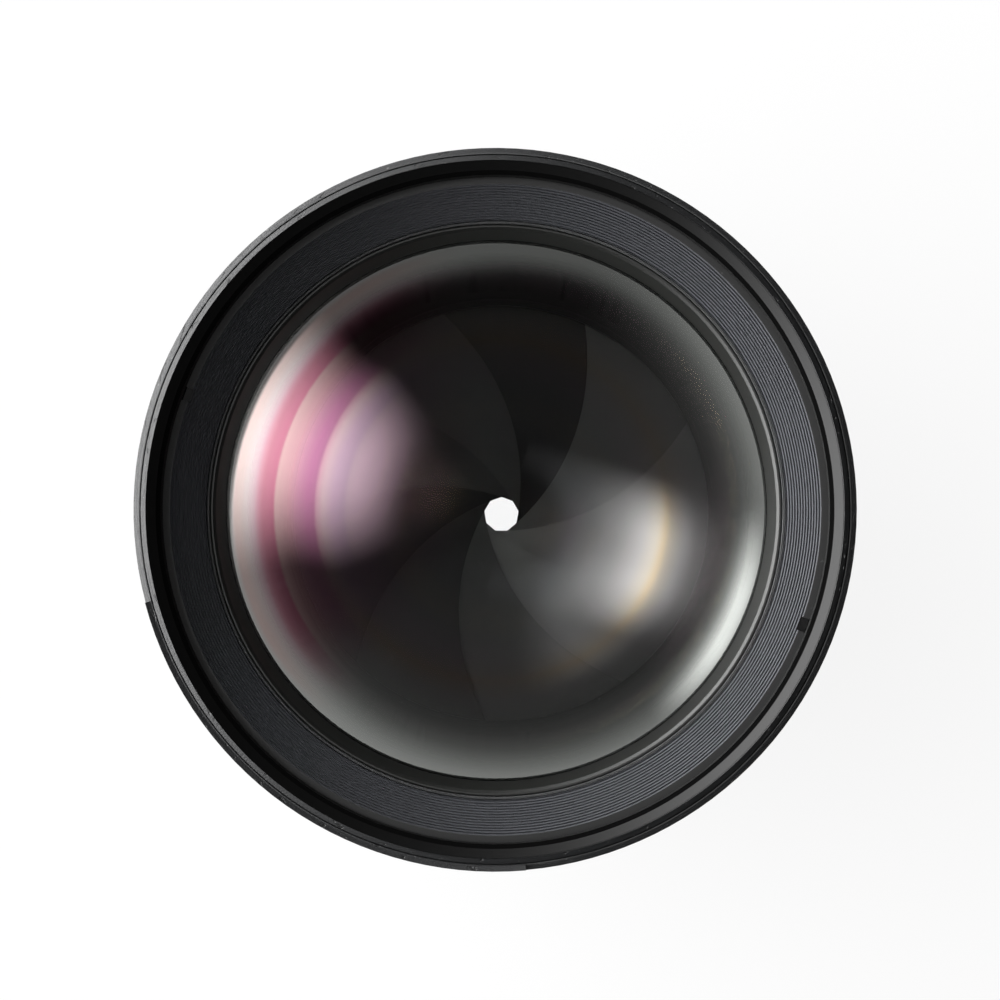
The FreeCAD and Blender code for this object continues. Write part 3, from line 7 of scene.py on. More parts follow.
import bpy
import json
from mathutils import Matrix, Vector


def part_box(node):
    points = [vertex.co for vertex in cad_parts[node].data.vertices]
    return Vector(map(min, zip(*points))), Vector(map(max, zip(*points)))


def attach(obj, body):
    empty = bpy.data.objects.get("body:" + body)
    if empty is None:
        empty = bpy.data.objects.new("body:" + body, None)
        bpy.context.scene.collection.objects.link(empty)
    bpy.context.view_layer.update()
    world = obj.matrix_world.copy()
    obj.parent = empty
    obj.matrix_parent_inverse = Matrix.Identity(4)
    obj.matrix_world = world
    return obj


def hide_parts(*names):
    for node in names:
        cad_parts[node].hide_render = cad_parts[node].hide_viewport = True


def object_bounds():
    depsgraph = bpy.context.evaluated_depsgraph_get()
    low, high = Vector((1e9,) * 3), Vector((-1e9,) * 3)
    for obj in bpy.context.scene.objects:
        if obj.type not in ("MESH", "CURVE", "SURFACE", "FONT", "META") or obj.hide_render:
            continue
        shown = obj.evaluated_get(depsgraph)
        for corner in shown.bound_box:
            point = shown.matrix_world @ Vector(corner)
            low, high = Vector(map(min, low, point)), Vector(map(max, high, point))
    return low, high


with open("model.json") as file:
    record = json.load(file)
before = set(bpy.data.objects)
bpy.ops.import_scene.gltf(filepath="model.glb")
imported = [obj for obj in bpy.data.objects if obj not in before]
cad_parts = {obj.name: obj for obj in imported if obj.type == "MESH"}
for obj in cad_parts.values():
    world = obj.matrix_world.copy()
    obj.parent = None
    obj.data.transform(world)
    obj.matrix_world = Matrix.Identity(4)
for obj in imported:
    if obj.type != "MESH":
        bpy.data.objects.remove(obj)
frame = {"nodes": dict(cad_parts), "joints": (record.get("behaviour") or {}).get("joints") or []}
cad_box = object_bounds()
print("nodes", len(frame["nodes"]), "box", cad_box)

# %% [markdown]
# The photograph looks straight down the optical axis from some 45 cm in front of the rim,
# a little to the right of the axis and below it, so that the deep pieces stand slightly
# to the right and low in the picture. The lens stands on its bayonet with the front
# rim up, so the camera looks down on it. The rim's own width in the picture gives the
# focal length, and the camera is tilted by about a degree instead of shifted. A camera
# that looks nearly straight down has no natural upright, so its three axes are worked
# out one by one, with the frame's Y axis up in the picture.

# %% Camera
import math

import bpy
from mathutils import Matrix, Vector

MM = 0.001
PICTURE_SIDE = 1000
MM_PER_PIXEL = 0.10595
CAMERA_DISTANCE = 450 * MM
CAMERA_RIGHT = 8.58 * MM
CAMERA_DOWN = 6.6 * MM
MIDDLE_RIGHT = 0.588 * MM
MIDDLE_UP = 0.949 * MM
SENSOR = 36.0
CLIP_START = 0.01
CLIP_END = 10

rim_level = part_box("front_barrel")[1].z
camera_place = Vector((CAMERA_RIGHT, -CAMERA_DOWN, rim_level + CAMERA_DISTANCE))
picture_middle = Vector((MIDDLE_RIGHT, MIDDLE_UP, rim_level))
look = picture_middle - camera_place
backward = -look.normalized()
rightward = Vector((0, 1, 0)).cross(backward).normalized()
upward = backward.cross(rightward)
camera_data = bpy.data.cameras.new("photo_camera")
camera = bpy.data.objects.new("photo_camera", camera_data)
bpy.context.scene.collection.objects.link(camera)
camera_axes = Matrix((rightward, upward, backward)).transposed().to_4x4()
camera.matrix_world = Matrix.Translation(camera_place) @ camera_axes
camera_data.sensor_width = SENSOR
camera_data.lens = SENSOR * look.length / (PICTURE_SIDE * MM_PER_PIXEL * MM)
camera_data.clip_start = CLIP_START
camera_data.clip_end = CLIP_END
bpy.context.scene.camera = camera
bpy.context.scene.view_settings.view_transform = "Standard"
print("lens", round(camera_data.lens, 1), "mm")

# %% [markdown]
# A finish is a small network of shader nodes. Built one by one, the nodes hide the sum
# that they do, so a wrapper round a socket lets plain arithmetic add them: 1 - mask adds
# a Math node, and a sum of two vectors adds a Vector Math node. Any other node comes
# from one method, which is given the node's settings and the values of its sockets.

# %% Arithmetic on sockets
class Wire:
    """A socket of a node tree that takes part in sums. Sums on it add the nodes that do them."""

    def __init__(self, tree, socket=None):
        self.tree = tree
        self.socket = socket

    def add(self, kind, settings=None, out=0, **inputs):
        """Add any node: first its settings, then its sockets, by name or as s0, s1 by place."""
        node = self.tree.nodes.new("ShaderNode" + kind)
        for name, value in (settings or {}).items():
            if name == "stops":
                self.set_stops(node.color_ramp, value)
            else:
                setattr(node, name, value)
        for name, value in inputs.items():
            by_place = name[0] == "s" and name[1:].isdigit()
            self.feed(node.inputs[int(name[1:]) if by_place else name.replace("_", " ")], value)
        return Wire(self.tree, node.outputs[out])

    def feed(self, target, value):
        """Link a wire to a socket, or set the socket to a number or a colour."""
        if isinstance(value, Wire):
            self.tree.links.new(value.socket, target)
        elif hasattr(target.default_value, "__len__") and not hasattr(value, "__len__"):
            target.default_value = (value,) * len(target.default_value)
        else:
            target.default_value = value

    @staticmethod
    def set_stops(ramp, stops):
        while len(ramp.elements) < len(stops):
            ramp.elements.new(0.5)
        for element, (position, value) in zip(ramp.elements, stops):
            element.position = position
            element.color = colour(value)

    def sum_node(self, operation, first, second):
        has_vector = any(
            isinstance(value, Wire) and value.socket.type in ("VECTOR", "RGBA")
            for value in (first, second)
        )
        kind = "VectorMath" if has_vector else "Math"
        return self.add(kind, {"operation": operation}, s0=first, s1=second)

    def __add__(self, other):
        return self.sum_node("ADD", self, other)

    def __radd__(self, other):
        return self.sum_node("ADD", other, self)

    def __sub__(self, other):
        return self.sum_node("SUBTRACT", self, other)

    def __rsub__(self, other):
        return self.sum_node("SUBTRACT", other, self)

    def __mul__(self, other):
        return self.sum_node("MULTIPLY", self, other)

    def __rmul__(self, other):
        return self.sum_node("MULTIPLY", other, self)

    def __truediv__(self, other):
        return self.sum_node("DIVIDE", self, other)

    def between(self, low, high):
        """0 below low, 1 above high, and a smooth step from one to the other."""
        settings = {"interpolation_type": "SMOOTHSTEP"}
        return self.add("MapRange", settings, Value=self, From_Min=low, From_Max=high)

    def past(self, limit, blur=0.05):
        """A mask that turns from 0 to 1 within a blur on either side of a limit."""
        return self.between(limit - blur, limit + blur)

    def mix(self, first, second):
        """A colour between two others, by this mask."""
        settings = {"data_type": "RGBA"}
        return self.add("Mix", settings, out=2, s0=self, s6=colour(first), s7=colour(second))

    def curve(self, points, highest):
        """A value or colour that follows points of (where, value), from 0 to the highest where."""
        stops = [(where / highest, value) for where, value in points]
        return self.add("ValToRGB", {"stops": stops}, s0=self / highest)


def colour(value):
    """A grey, or a red, green and blue, as the four numbers that a socket takes."""
    if isinstance(value, Wire):
        return value
    if not hasattr(value, "__len__"):
        value = (value, value, value)
    return (*value, 1) if len(value) == 3 else value


print("arithmetic on sockets is ready")

# %% [markdown]
# Some sums come up again and again: how far two vectors agree, how long a vector is, and
# the same vector made one long. A plain operator can't say which is meant, so each gets a
# short name here.

# %% More sums by name
def dot(wire, first, second):
    return wire.add("VectorMath", {"operation": "DOT_PRODUCT"}, out="Value", s0=first, s1=second)


def length_of(wire, vector):
    return wire.add("VectorMath", {"operation": "LENGTH"}, out="Value", s0=vector)


def unit(wire, vector):
    return wire.add("VectorMath", {"operation": "NORMALIZE"}, s0=vector)


def math_of(wire, operation, first, second=0.0):
    return wire.add("Math", {"operation": operation}, s0=first, s1=second)


print("sums by name are ready")

# %% [markdown]
# Every metal ring of a lens is turned on a lathe, which leaves fine marks that run round
# the axis. Coordinates made for that follow the radius and the height, and hardly
# change with the angle, so any noise looked up in them is drawn out into turning marks. The
# axis of the lens is the frame's own Z axis, so they come straight from object coordinates.

# %% Coordinates for turned pieces
MM_IN_METRE = 1000
DEGREES = 180 / math.pi


def place_on_piece(wire):
    """Where a point of the surface is, in millimetres."""
    return wire.add("TexCoord", out="Object") * MM_IN_METRE


def flat_length(wire, place):
    """How far a place, or a direction, lies from the axis."""
    return length_of(wire, place * (1, 1, 0))


def radius_and_height(wire):
    place = place_on_piece(wire)
    return flat_length(wire, place), wire.add("SeparateXYZ", out="Z", Vector=place)


def turned_coordinates(wire, drawn_out=0.02):
    """Coordinates in millimetres that hardly change round the axis."""
    place = place_on_piece(wire)
    radius, height = radius_and_height(wire)
    x = wire.add("SeparateXYZ", out="X", Vector=place)
    y = wire.add("SeparateXYZ", out="Y", Vector=place)
    return wire.add("CombineXYZ", X=radius, Y=x * drawn_out, Z=height + y * drawn_out)


print("coordinates for turned pieces are ready")

# %% [markdown]
# The lights, and the colours of the front glass, stand at certain sides of the lens. Two
# sums say how far a place or a direction is from such a side: aside in degrees round the
# axis, and across as a plain distance, for a lamp that is a straight bar. On the axis
# itself there is no side, so a tiny number keeps the division there from failing.

# %% Which side of the lens
TINY = 1e-6


def aside(wire, place, azimuth):
    """How many degrees round the axis a place, or a direction, lies from an azimuth."""
    turn = math.radians(azimuth)
    along = dot(wire, place, (math.cos(turn), math.sin(turn), 0))
    share = along / (flat_length(wire, place) + TINY)
    return math_of(wire, "ARCCOSINE", share) * DEGREES


def across(wire, direction, azimuth):
    """How far a direction lies to either side of the half plane at an azimuth; 1 behind it."""
    turn = math.radians(azimuth)
    sideways = dot(wire, direction, (-math.sin(turn), math.cos(turn), 0))
    behind = aside(wire, direction, azimuth).past(90, 1)
    return math_of(wire, "ABSOLUTE", sideways) + behind


print("sides are ready")

# %% [markdown]
# All finishes start in the same way: a material with Blender's general shader, a noise
# looked up in millimetres, and a bump whose depth is real too. So a grain of a tenth of a
# millimetre is written as ten spots in a millimetre and a depth of a hundredth.

# %% The start of every finish
def noise(wire, scale, detail, place=None):
    """Soft random grey, with this many spots in a millimetre."""
    place = place_on_piece(wire) if place is None else place
    return wire.add("TexNoise", Vector=place, Scale=scale, Detail=detail)


def dents(wire, height, depth, strength=1.0):
    """A bump, of a height between 0 and 1, that is this many millimetres deep."""
    return wire.add("Bump", Height=height, Distance=depth * MM, Strength=strength)


def scaled(tone, factor):
    return tuple(part * factor for part in tone)


def new_finish(name):
    material = bpy.data.materials.new(name)
    material.use_nodes = True
    tree = material.node_tree
    return material, Wire(tree), tree.nodes["Principled BSDF"]


def set_shader(wire, shader, **values):
    for name, value in values.items():
        wire.feed(shader.inputs[name.replace("_", " ")], value)


def light_from(wire, shader):
    return Wire(wire.tree, shader.outputs[0])


def show(wire, surface):
    """Let the material show a surface other than its main shader alone."""
    wire.feed(wire.tree.nodes["Material Output"].inputs["Surface"], surface)


print("the start of every finish is ready")

# %% [markdown]
# The front barrel is sprayed with crackle paint, a matte black that dries into small
# pits and ridges, from the land of the rim outwards. The mouth inside it is only satin
# black, and the thread below that is dull. One material does all three, with masks worked
# out from the radius. Round the rim the ridges are drawn out along it, and specks of dust
# lie on the paint. It runs thick at the rim's edges, so a bump that follows the radius
# leans the land outwards on its inner half and inwards on its outer half.

# %% Crackle paint for the front barrel
MOUTH_RADIUS = 37.0
THREAD_RELIEF = 36.025
RIM_LEVEL = 79.5
RIM_SPAN = 40.0
RIM_ROUNDING = ((36.98, 1.0), (37.72, 0.0), (37.80, 0.0), (38.40, 0.55))
MOUTH_AND_PIT_SHADE_TONE = 0.004
PAINT_TONE = (0.016, 0.0165, 0.0175)
DULL_TONE = 0.003
DUST_TONE = 0.10


def crackle_paint():
    material, wire, shader = new_finish("crackle_paint")
    radius, height = radius_and_height(wire)
    outside = radius.past(MOUTH_RADIUS)
    on_rim = height.between(RIM_LEVEL, RIM_LEVEL + 1) * outside
    thread = 1 - radius.past(THREAD_RELIEF, 0.025)
    rounding = radius.curve(RIM_ROUNDING, RIM_SPAN)
    ridges = noise(wire, 3.2, 4.0, turned_coordinates(wire, 0.06))
    grains = noise(wire, 4.5, 6.0)
    pits = noise(wire, 1.6, 4.0, turned_coordinates(wire, 0.4)).between(0.63, 0.69) * on_rim
    specks = noise(wire, 2.2, 3.0).between(0.68, 0.75) * outside
    marks = noise(wire, 9.0, 2.0, turned_coordinates(wire))
    relief = ridges * on_rim * 1.1 + grains * outside * 0.6 - pits * 0.8
    shape = rounding * outside * 0.5 + (relief + marks * 0.03) * 0.08
    # The pits are painted darker, in the mouth's tone: a painted shade in their hollows.
    tone = pits.mix(outside.mix(MOUTH_AND_PIT_SHADE_TONE, PAINT_TONE), MOUTH_AND_PIT_SHADE_TONE)
    set_shader(wire, shader, Base_Color=specks.mix(tone, DUST_TONE),
               Roughness=0.42 - outside * (0.02 - grains * 0.12),
               Metallic=(1 - outside) * 0.5, Normal=dents(wire, shape, 1.0, 0.9))
    dull = wire.add("BsdfDiffuse", Color=colour(DULL_TONE))
    show(wire, wire.add("MixShader", s0=thread, s1=light_from(wire, shader), s2=dull))
    return material


front_paint = crackle_paint()
print("finish", front_paint.name)

# %% [markdown]
# The other rings outside are anodised: a satin black with turning marks just fine
# enough to stretch each highlight along the ring. Handling leaves them a little
# shinier in patches, and some dust settles on them. The rings inside are dyed a flatter
# black, and what faces the glass is the flattest. How black that looks depends on the
# sheen more than on the tone, so the share of light that glances off is a setting too.

# %% Anodised metal and flat black
def anodised(name, tone, roughness, mark_depth=0.012):
    material, wire, shader = new_finish(name)
    marks = noise(wire, 6.0, 3.0, turned_coordinates(wire))
    patches = noise(wire, 0.08, 2.0)
    dust = noise(wire, 1.6, 5.0).between(0.68, 0.74)
    set_shader(wire, shader, Base_Color=dust.mix(patches.mix(tone, scaled(tone, 1.25)), 0.07),
               Roughness=roughness + marks * 0.10 + patches * 0.08,
               Normal=dents(wire, marks, mark_depth))
    return material


def flat_black(name, tone, roughness, grain_depth=0.01, specular=0.5, dark_from=None):
    """A dyed black, where dark_from is a radius from which it is blacker still."""
    material, wire, shader = new_finish(name)
    grains = noise(wire, 7.0, 4.0)
    marks = noise(wire, 5.0, 2.0, turned_coordinates(wire))
    dust = noise(wire, 2.4, 4.0).between(0.70, 0.76)
    tone = grains.mix(tone, scaled(tone, 1.5))
    if dark_from is not None:
        radius, _ = radius_and_height(wire)
        tone = radius.past(dark_from).mix(tone, DULL_TONE)
    set_shader(wire, shader, Base_Color=dust.mix(tone, 0.05),
               Roughness=roughness + grains * 0.12, Specular_IOR_Level=specular,
               Normal=dents(wire, grains * 0.5 + marks, grain_depth))
    return material


print("anodising and flat black are ready")

# %% [markdown]
# The grip is moulded rubber: matte, slightly grey where fingers have rubbed the tops of
# the ribs, with a fine grain from the mould. The plastic at the rear, the enamel of the
# figures and the red dot are the same recipe without the worn tops.

# %% Rubber, plastic and enamel
def moulded(name, tone, roughness, worn_radius=None):
    material, wire, shader = new_finish(name)
    grains = noise(wire, 8.0, 5.0)
    rubbed = noise(wire, 0.15, 3.0).between(0.35, 0.75)
    if worn_radius is not None:
        radius, _ = radius_and_height(wire)
        rubbed = rubbed * radius.between(worn_radius - 0.35, worn_radius)
    set_shader(wire, shader, Base_Color=rubbed.mix(tone, scaled(tone, 1.9)),
               Roughness=roughness + grains * 0.12 - rubbed * 0.10,
               Normal=dents(wire, grains, 0.015))
    return material


print("rubber, plastic and enamel are ready")

# %% [markdown]
# The bare metals are the mount, brushed round and chromed, the brass of pins and
# collars, the turned alloy of sleeve and cells, steel screws, and the blued spring
# steel of the iris blades. They share one recipe and differ in colour and in marks.

# %% Bare metals
def bare_metal(name, tone, roughness, mark_depth=0.006, turned=True):
    material, wire, shader = new_finish(name)
    place = turned_coordinates(wire) if turned else place_on_piece(wire)
    marks = noise(wire, 9.0, 4.0, place)
    smears = noise(wire, 0.12, 3.0)
    set_shader(wire, shader, Base_Color=smears.mix(tone, scaled(tone, 0.88)), Metallic=1.0,
               Roughness=roughness + marks * 0.14 + smears * 0.08,
               Normal=dents(wire, marks, mark_depth))
    return material


print("bare metals are ready")

# %% [markdown]
# A mesh of a lens element is made of flat facets, and light that is bent three or four
# times shows every one of them. Polished glass is part of a ball, and a ball's normal is
# simply the direction from its middle. So each surface is written as the level of its
# vertex and its radius of curvature, in millimetres. Where a point lies within a hair of
# that ball, the exact normal takes the place of the mesh's own.

# %% The exact slope of polished glass
BALL_REACH = 0.12
BALL_FADE = 0.04


def polished_normal(wire, surfaces):
    """The normal of the ball that a point lies on, or else the mesh's own normal."""
    meshed = wire.add("NewGeometry", out="Normal")
    normal = meshed
    for vertex, curve in surfaces:
        outward = place_on_piece(wire) - (0, 0, vertex - curve)
        length = length_of(wire, outward)
        radial = outward / length
        side = math_of(wire, "SIGN", dot(wire, radial, meshed))
        off = math_of(wire, "ABSOLUTE", length - curve)
        on_ball = 1 - off.between(BALL_REACH, BALL_REACH + BALL_FADE)
        normal = normal * (1 - on_ball) + radial * (side * on_ball)
    return unit(wire, normal)


print("exact normals are ready")

# %% [markdown]
# Each glass element is polished and coated. The coating lets nearly all light through
# and sends a little back in a colour of its own, so a plain glass shader would be too
# bright and too grey. A refraction shader and a tinted mirror are mixed by the glass's own
# reflectance times what the coating leaves of it. The ground edge is painted black, as it
# is on real elements, so a mask on the radius swaps the glass for paint there.

# %% Coated glass
EDGE_PAINT = (0.010, 0.016)


def coated_glass(name, ior, edge_radius, share, tint,
                 surfaces=(), slope=1.0, flat_from=None, flat_level=0.0):
    """A clear element, where share and tint are values or functions of the wire that make them.

    A slope under 1 lets the mirror lean less than the surface does. From the radius
    flat_from outwards, a flat rim at the height flat_level is painted too.
    """
    material, wire, mirror = new_finish(name)
    radius, height = radius_and_height(wire)
    normal = polished_normal(wire, surfaces)
    bend = wire.add("BsdfRefraction", IOR=ior, Roughness=0.0, Color=colour(1.0), Normal=normal)
    set_shader(wire, mirror, Metallic=1.0, Roughness=0.0,
               Base_Color=colour(tint(wire) if callable(tint) else tint),
               Normal=unit(wire, normal * (slope, slope, 1)))
    reflectance = wire.add("Fresnel", IOR=ior) * (share(wire) if callable(share) else share)
    clear = wire.add("MixShader", s0=reflectance, s1=bend, s2=light_from(wire, mirror))
    rubbed = noise(wire, 0.3, 4.0).between(0.5, 0.9)
    paint = wire.add("BsdfPrincipled", Base_Color=rubbed.mix(*EDGE_PAINT), Roughness=0.9,
                     Specular_IOR_Level=0.0)
    painted = radius.past(edge_radius - 0.025, 0.005)
    if flat_from is not None:
        on_flat = (1 - height.past(flat_level + 0.025, 0.005)) * radius.past(flat_from, 0.02)
        painted = math_of(wire, "MAXIMUM", painted, on_flat)
    show(wire, wire.add("MixShader", s0=painted, s1=clear, s2=paint))
    return material


print("coated glass is ready")

# %% [markdown]
# The front glass shows its coating best. Towards the left, where the softbox is seen
# in it, the mirror's colour is painted in steps at the radii of the rims of the elements
# behind, from a warm white through pink and magenta to a greyish lilac. This is partly the
# coating's own colour and partly painted reflections: the steps stand in for the arcs that
# the surfaces behind would send back. On the right a lamp's reflection ends in an amber
# fringe, a painted reflection in the mirror's colour at that radius. Only the front
# surface has this, so a mask on the height leaves the rear surface plain: the glass is
# thick enough that no height belongs to both.
#
# The glass is also recessed, so its rim can't mirror what is low in the room: the barrel
# hides it. The photograph shows a bright ring there all the same. Letting the mirror lean
# half as much as the glass brings the room into that ring. Seen from the side the same
# mirror would go white, so its strength falls where the surface slants away.

# %% The front glass and its coating
GLASS_SPAN = 30.0
MIRROR_SLOPE = 0.50
MIRROR_STRENGTH = 2.5
PLAIN_SHARE = 0.05
FRONT_SURFACE_LEVEL = 71.0
CLEAR_MIDDLE = (3.0, 9.0)
SLANT = (0.18, 0.45)
LOST_IN_SLANT = 0.92
# The side and the radii where the mirror's colour is painted: reflected arcs at the left, an amber fringe at
# the right.
PAINTED_ARCS_AZIMUTH = 165
COATING_AND_PAINTED_ARCS_AT_LEFT = (
    (7.0, (0.50, 0.34, 0.42)), (15.00, (0.60, 0.42, 0.50)), (16.00, (0.60, 0.43, 0.50)),
    (16.30, (0.55, 0.38, 0.49)), (17.50, (0.69, 0.47, 0.60)), (18.60, (0.84, 0.60, 0.65)),
    (19.30, (0.84, 0.48, 0.58)), (19.55, (0.67, 0.27, 0.45)), (20.25, (0.74, 0.29, 0.50)),
    (21.35, (0.84, 0.41, 0.56)), (22.40, (0.95, 0.53, 0.59)), (23.80, (1.00, 0.65, 0.65)),
    (24.05, (0.86, 0.31, 0.44)), (25.20, (0.87, 0.37, 0.47)), (25.70, (0.94, 0.49, 0.59)),
    (26.20, (0.99, 0.72, 0.78)), (27.00, (1.00, 0.86, 0.85)), (27.80, (1.00, 0.80, 0.76)),
    (28.30, (0.98, 0.78, 0.74)), (28.80, (0.96, 0.95, 0.93)),
)
COATING_AND_PAINTED_FRINGE_AT_RIGHT = (
    (10.0, (0.95, 0.97, 1.00)), (16.0, (0.97, 0.96, 0.94)), (17.6, (1.00, 0.92, 0.78)),
    (18.4, (1.00, 0.82, 0.55)), (19.0, (0.98, 0.88, 0.72)), (20.5, (0.97, 0.97, 0.96)),
    (26.0, (0.96, 1.00, 0.95)), (29.0, (0.97, 1.00, 0.96)),
)


# Partly the coating's colour and partly painted reflections, by side and radius.
def front_coating_and_painted_arcs(wire):
    radius, _ = radius_and_height(wire)
    at_left = radius.curve(COATING_AND_PAINTED_ARCS_AT_LEFT, GLASS_SPAN)
    at_right = radius.curve(COATING_AND_PAINTED_FRINGE_AT_RIGHT, GLASS_SPAN)
    return aside(wire, place_on_piece(wire), PAINTED_ARCS_AZIMUTH).between(42, 70).mix(at_left, at_right)


def front_share(wire):
    radius, height = radius_and_height(wire)
    on_front = height.between(FRONT_SURFACE_LEVEL, FRONT_SURFACE_LEVEL + 0.1)
    slanting = wire.add("LayerWeight", out="Facing", Blend=0.5).between(*SLANT)
    kept = radius.between(*CLEAR_MIDDLE) * (1 - slanting * LOST_IN_SLANT)
    return PLAIN_SHARE + on_front * kept * MIRROR_STRENGTH


EDGE_FRONT, EDGE_SECOND, EDGE_THIRD, EDGE_REAR = 30.6, 26.2, 23.0, 18.6
FRONT_SURFACES = ((78.4, 72.0), (70.4, 260.0))
SECOND_SURFACES = ((69.9, 39.0), (60.9, 80.0))
THIRD_SURFACES = ((58.9, 150.0), (56.7, 24.0))
THIRD_CLEAR_RADIUS = 16.9
third_rear_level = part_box("third_element")[0].z / MM
glass = {
    "front_element": coated_glass("front_glass", 1.80, EDGE_FRONT, front_share, front_coating_and_painted_arcs,
                                  FRONT_SURFACES, MIRROR_SLOPE),
    "second_element": coated_glass("second_glass", 1.80, EDGE_SECOND, 0.06, (1.0, 0.5, 0.75),
                                   SECOND_SURFACES),
    "third_element": coated_glass("third_glass", 1.70, EDGE_THIRD, 0.06, (1.0, 0.8, 0.5),
                                  THIRD_SURFACES, 1.0, THIRD_CLEAR_RADIUS, third_rear_level),
    "fourth_element": coated_glass("fourth_glass", 1.74, EDGE_REAR, 0.03, (0.7, 0.5, 1.0)),
    "fifth_element": coated_glass("fifth_glass", 1.80, EDGE_REAR, 0.03, (0.7, 0.5, 1.0)),
    "rear_element": coated_glass("rear_glass", 1.80, EDGE_REAR, 0.25, (0.5, 1.0, 0.7)),
}
print("glass for", len(glass), "elements")

# %% [markdown]
# The nine blades are stamped from one blued sheet and lie fanned over one another, each a
# little tilted and with its grain turned by a ninth of a circle. So each sends back a
# different share of the light, which is what makes their edges visible. That tilt is too
# small to model, so each blade gets a tone of its own instead: painted light and shade,
# lighter for the blades that catch more light and darker for the others.

# %% Blades of the iris
# Painted light and shade: a tone for each blade by how much light it catches, not a tone of the steel.
BLADE_PAINTED_SHADES = (0.052, 0.100, 0.155, 0.150, 0.105, 0.030, 0.058, 0.050, 0.034)


def blade_painted_shade_finish(number, tone):
    tint = (tone * 0.98, tone * 1.01, tone * 0.97)
    return bare_metal(f"blued_steel_painted_shade_{number}", tint, 0.36, mark_depth=0.003)


finishes = {f"blade_{number}": blade_painted_shade_finish(number, tone)
            for number, tone in enumerate(BLADE_PAINTED_SHADES, 1)}
print("blade finishes", len(finishes))

# %% [markdown]
# The record names a material slot for every node. A finish is looked up by the node's own
# name first, which serves the glass, the blades and the blacks that face the glass, and
# then by the name of its slot. So a hidden screw gets a real finish without a line of its own.

# %% Give every node of the lens its finish
LIP_RADIUS = 34.8
GRIP_TOP_RADIUS = 38.1
DEAD_BLACK = (0.002, 0.002, 0.002)
finishes |= {
    "front_metal": front_paint,
    "ring_metal": anodised("satin_black_anodising", (0.022, 0.022, 0.024), 0.32),
    "front_retainer": flat_black("satin_black_retainer", (0.007, 0.0075, 0.0065), 0.35,
                                 grain_depth=0.002, specular=1.0),
    "front_cell": flat_black("dead_black_cell", DEAD_BLACK, 0.8, specular=0.0),
    "second_retainer": flat_black("dead_black_retainer", DEAD_BLACK, 0.8, specular=0.0),
    "inner_black": flat_black("flat_black_anodising", (0.003, 0.003, 0.003), 0.50, specular=0.2),
    "baffle_black": flat_black("satin_black_ribs", (0.060, 0.062, 0.069), 0.40,
                               grain_depth=0.0012, specular=1.0, dark_from=LIP_RADIUS),
    "grip_rubber": moulded("grip_rubber", (0.016, 0.016, 0.016), 0.62, GRIP_TOP_RADIUS),
    "mount_metal": bare_metal("brushed_chrome", (0.50, 0.50, 0.485), 0.28, mark_depth=0.004),
    "bare_brass": bare_metal("turned_brass", (0.72, 0.52, 0.22), 0.25),
    "alloy": bare_metal("turned_alloy", (0.5, 0.5, 0.52), 0.35),
    "screw_steel": bare_metal("screw_steel", (0.42, 0.42, 0.43), 0.3, turned=False),
    "rear_plastic": moulded("matte_black_plastic", (0.02, 0.02, 0.02), 0.5),
    "index_red": moulded("red_enamel", (0.52, 0.02, 0.015), 0.25),
}
for name, piece in frame["nodes"].items():
    slot_name = piece.material_slots[0].material.name.split(".")[0]
    piece.material_slots[0].material = glass.get(name) or finishes.get(name) or finishes[slot_name]
print("finishes", len(finishes) + len(glass), "on", len(frame["nodes"]), "nodes")

# %% [markdown]
# Apart from the figures, every new piece is a skin over rows of points, where each row
# is a closed outline. A turning joins its last row to its first, and a bar or a helix has
# a cap at each end. Both come from one function. A new piece rides on the body that
# carries it, so that it moves with that body's joint.

# %% New pieces
SHARP_ANGLE = math.radians(25)


def skin(rows, around, closed):
    """The faces between rows of points, with a cap at each end where the rows aren't closed."""
    faces = []
    for row in range(rows if closed else rows - 1):
        here, beyond = row * around, (row + 1) % rows * around
        for k in range(around):
            above = (k + 1) % around
            faces.append((here + k, beyond + k, beyond + above, here + above))
    if not closed:
        faces.append(tuple(range(around)))
        faces.append(tuple(reversed(range((rows - 1) * around, rows * around))))
    return faces


def on_ring(radius, turn, height):
    """A point at a radius, a turn in radians and a height, from millimetres to metres."""
    return radius * math.cos(turn) * MM, radius * math.sin(turn) * MM, height * MM


def new_piece(name, points, faces, material, body):
    mesh = bpy.data.meshes.new(name)
    mesh.from_pydata(points, [], faces)
    mesh.shade_smooth()
    mesh.set_sharp_from_angle(angle=SHARP_ANGLE)
    mesh.materials.append(material)
    piece = bpy.data.objects.new(name, mesh)
    bpy.context.scene.collection.objects.link(piece)
    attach(piece, body)
    print(name, len(mesh.polygons), "faces")
    return piece


def turned_piece(name, outline_at, azimuths, material, body):
    """A closed outline of (radius, height) in millimetres, swept through the azimuths in order."""
    points = []
    for azimuth in azimuths:
        turn = math.radians(azimuth)
        points += [on_ring(radius, turn, height) for radius, height in outline_at(azimuth)]
    faces = skin(len(azimuths), len(outline_at(azimuths[0])), closed=True)
    return new_piece(name, points, faces, material, body)


print("new pieces can be made")

# %% [markdown]
# The ribbed baffle is the finest turning on the lens: thirteen sharp ribs, each less than
# a third of a millimetre wide. The CAD mesh rounds each circle with 125 chords, and their
# corners show as a wood grain between such close lines. So the same outline is turned
# again here with some 700 steps. The columns of points that fall in the two spanner
# notches follow a lower outline. That cuts the notches without a boolean.

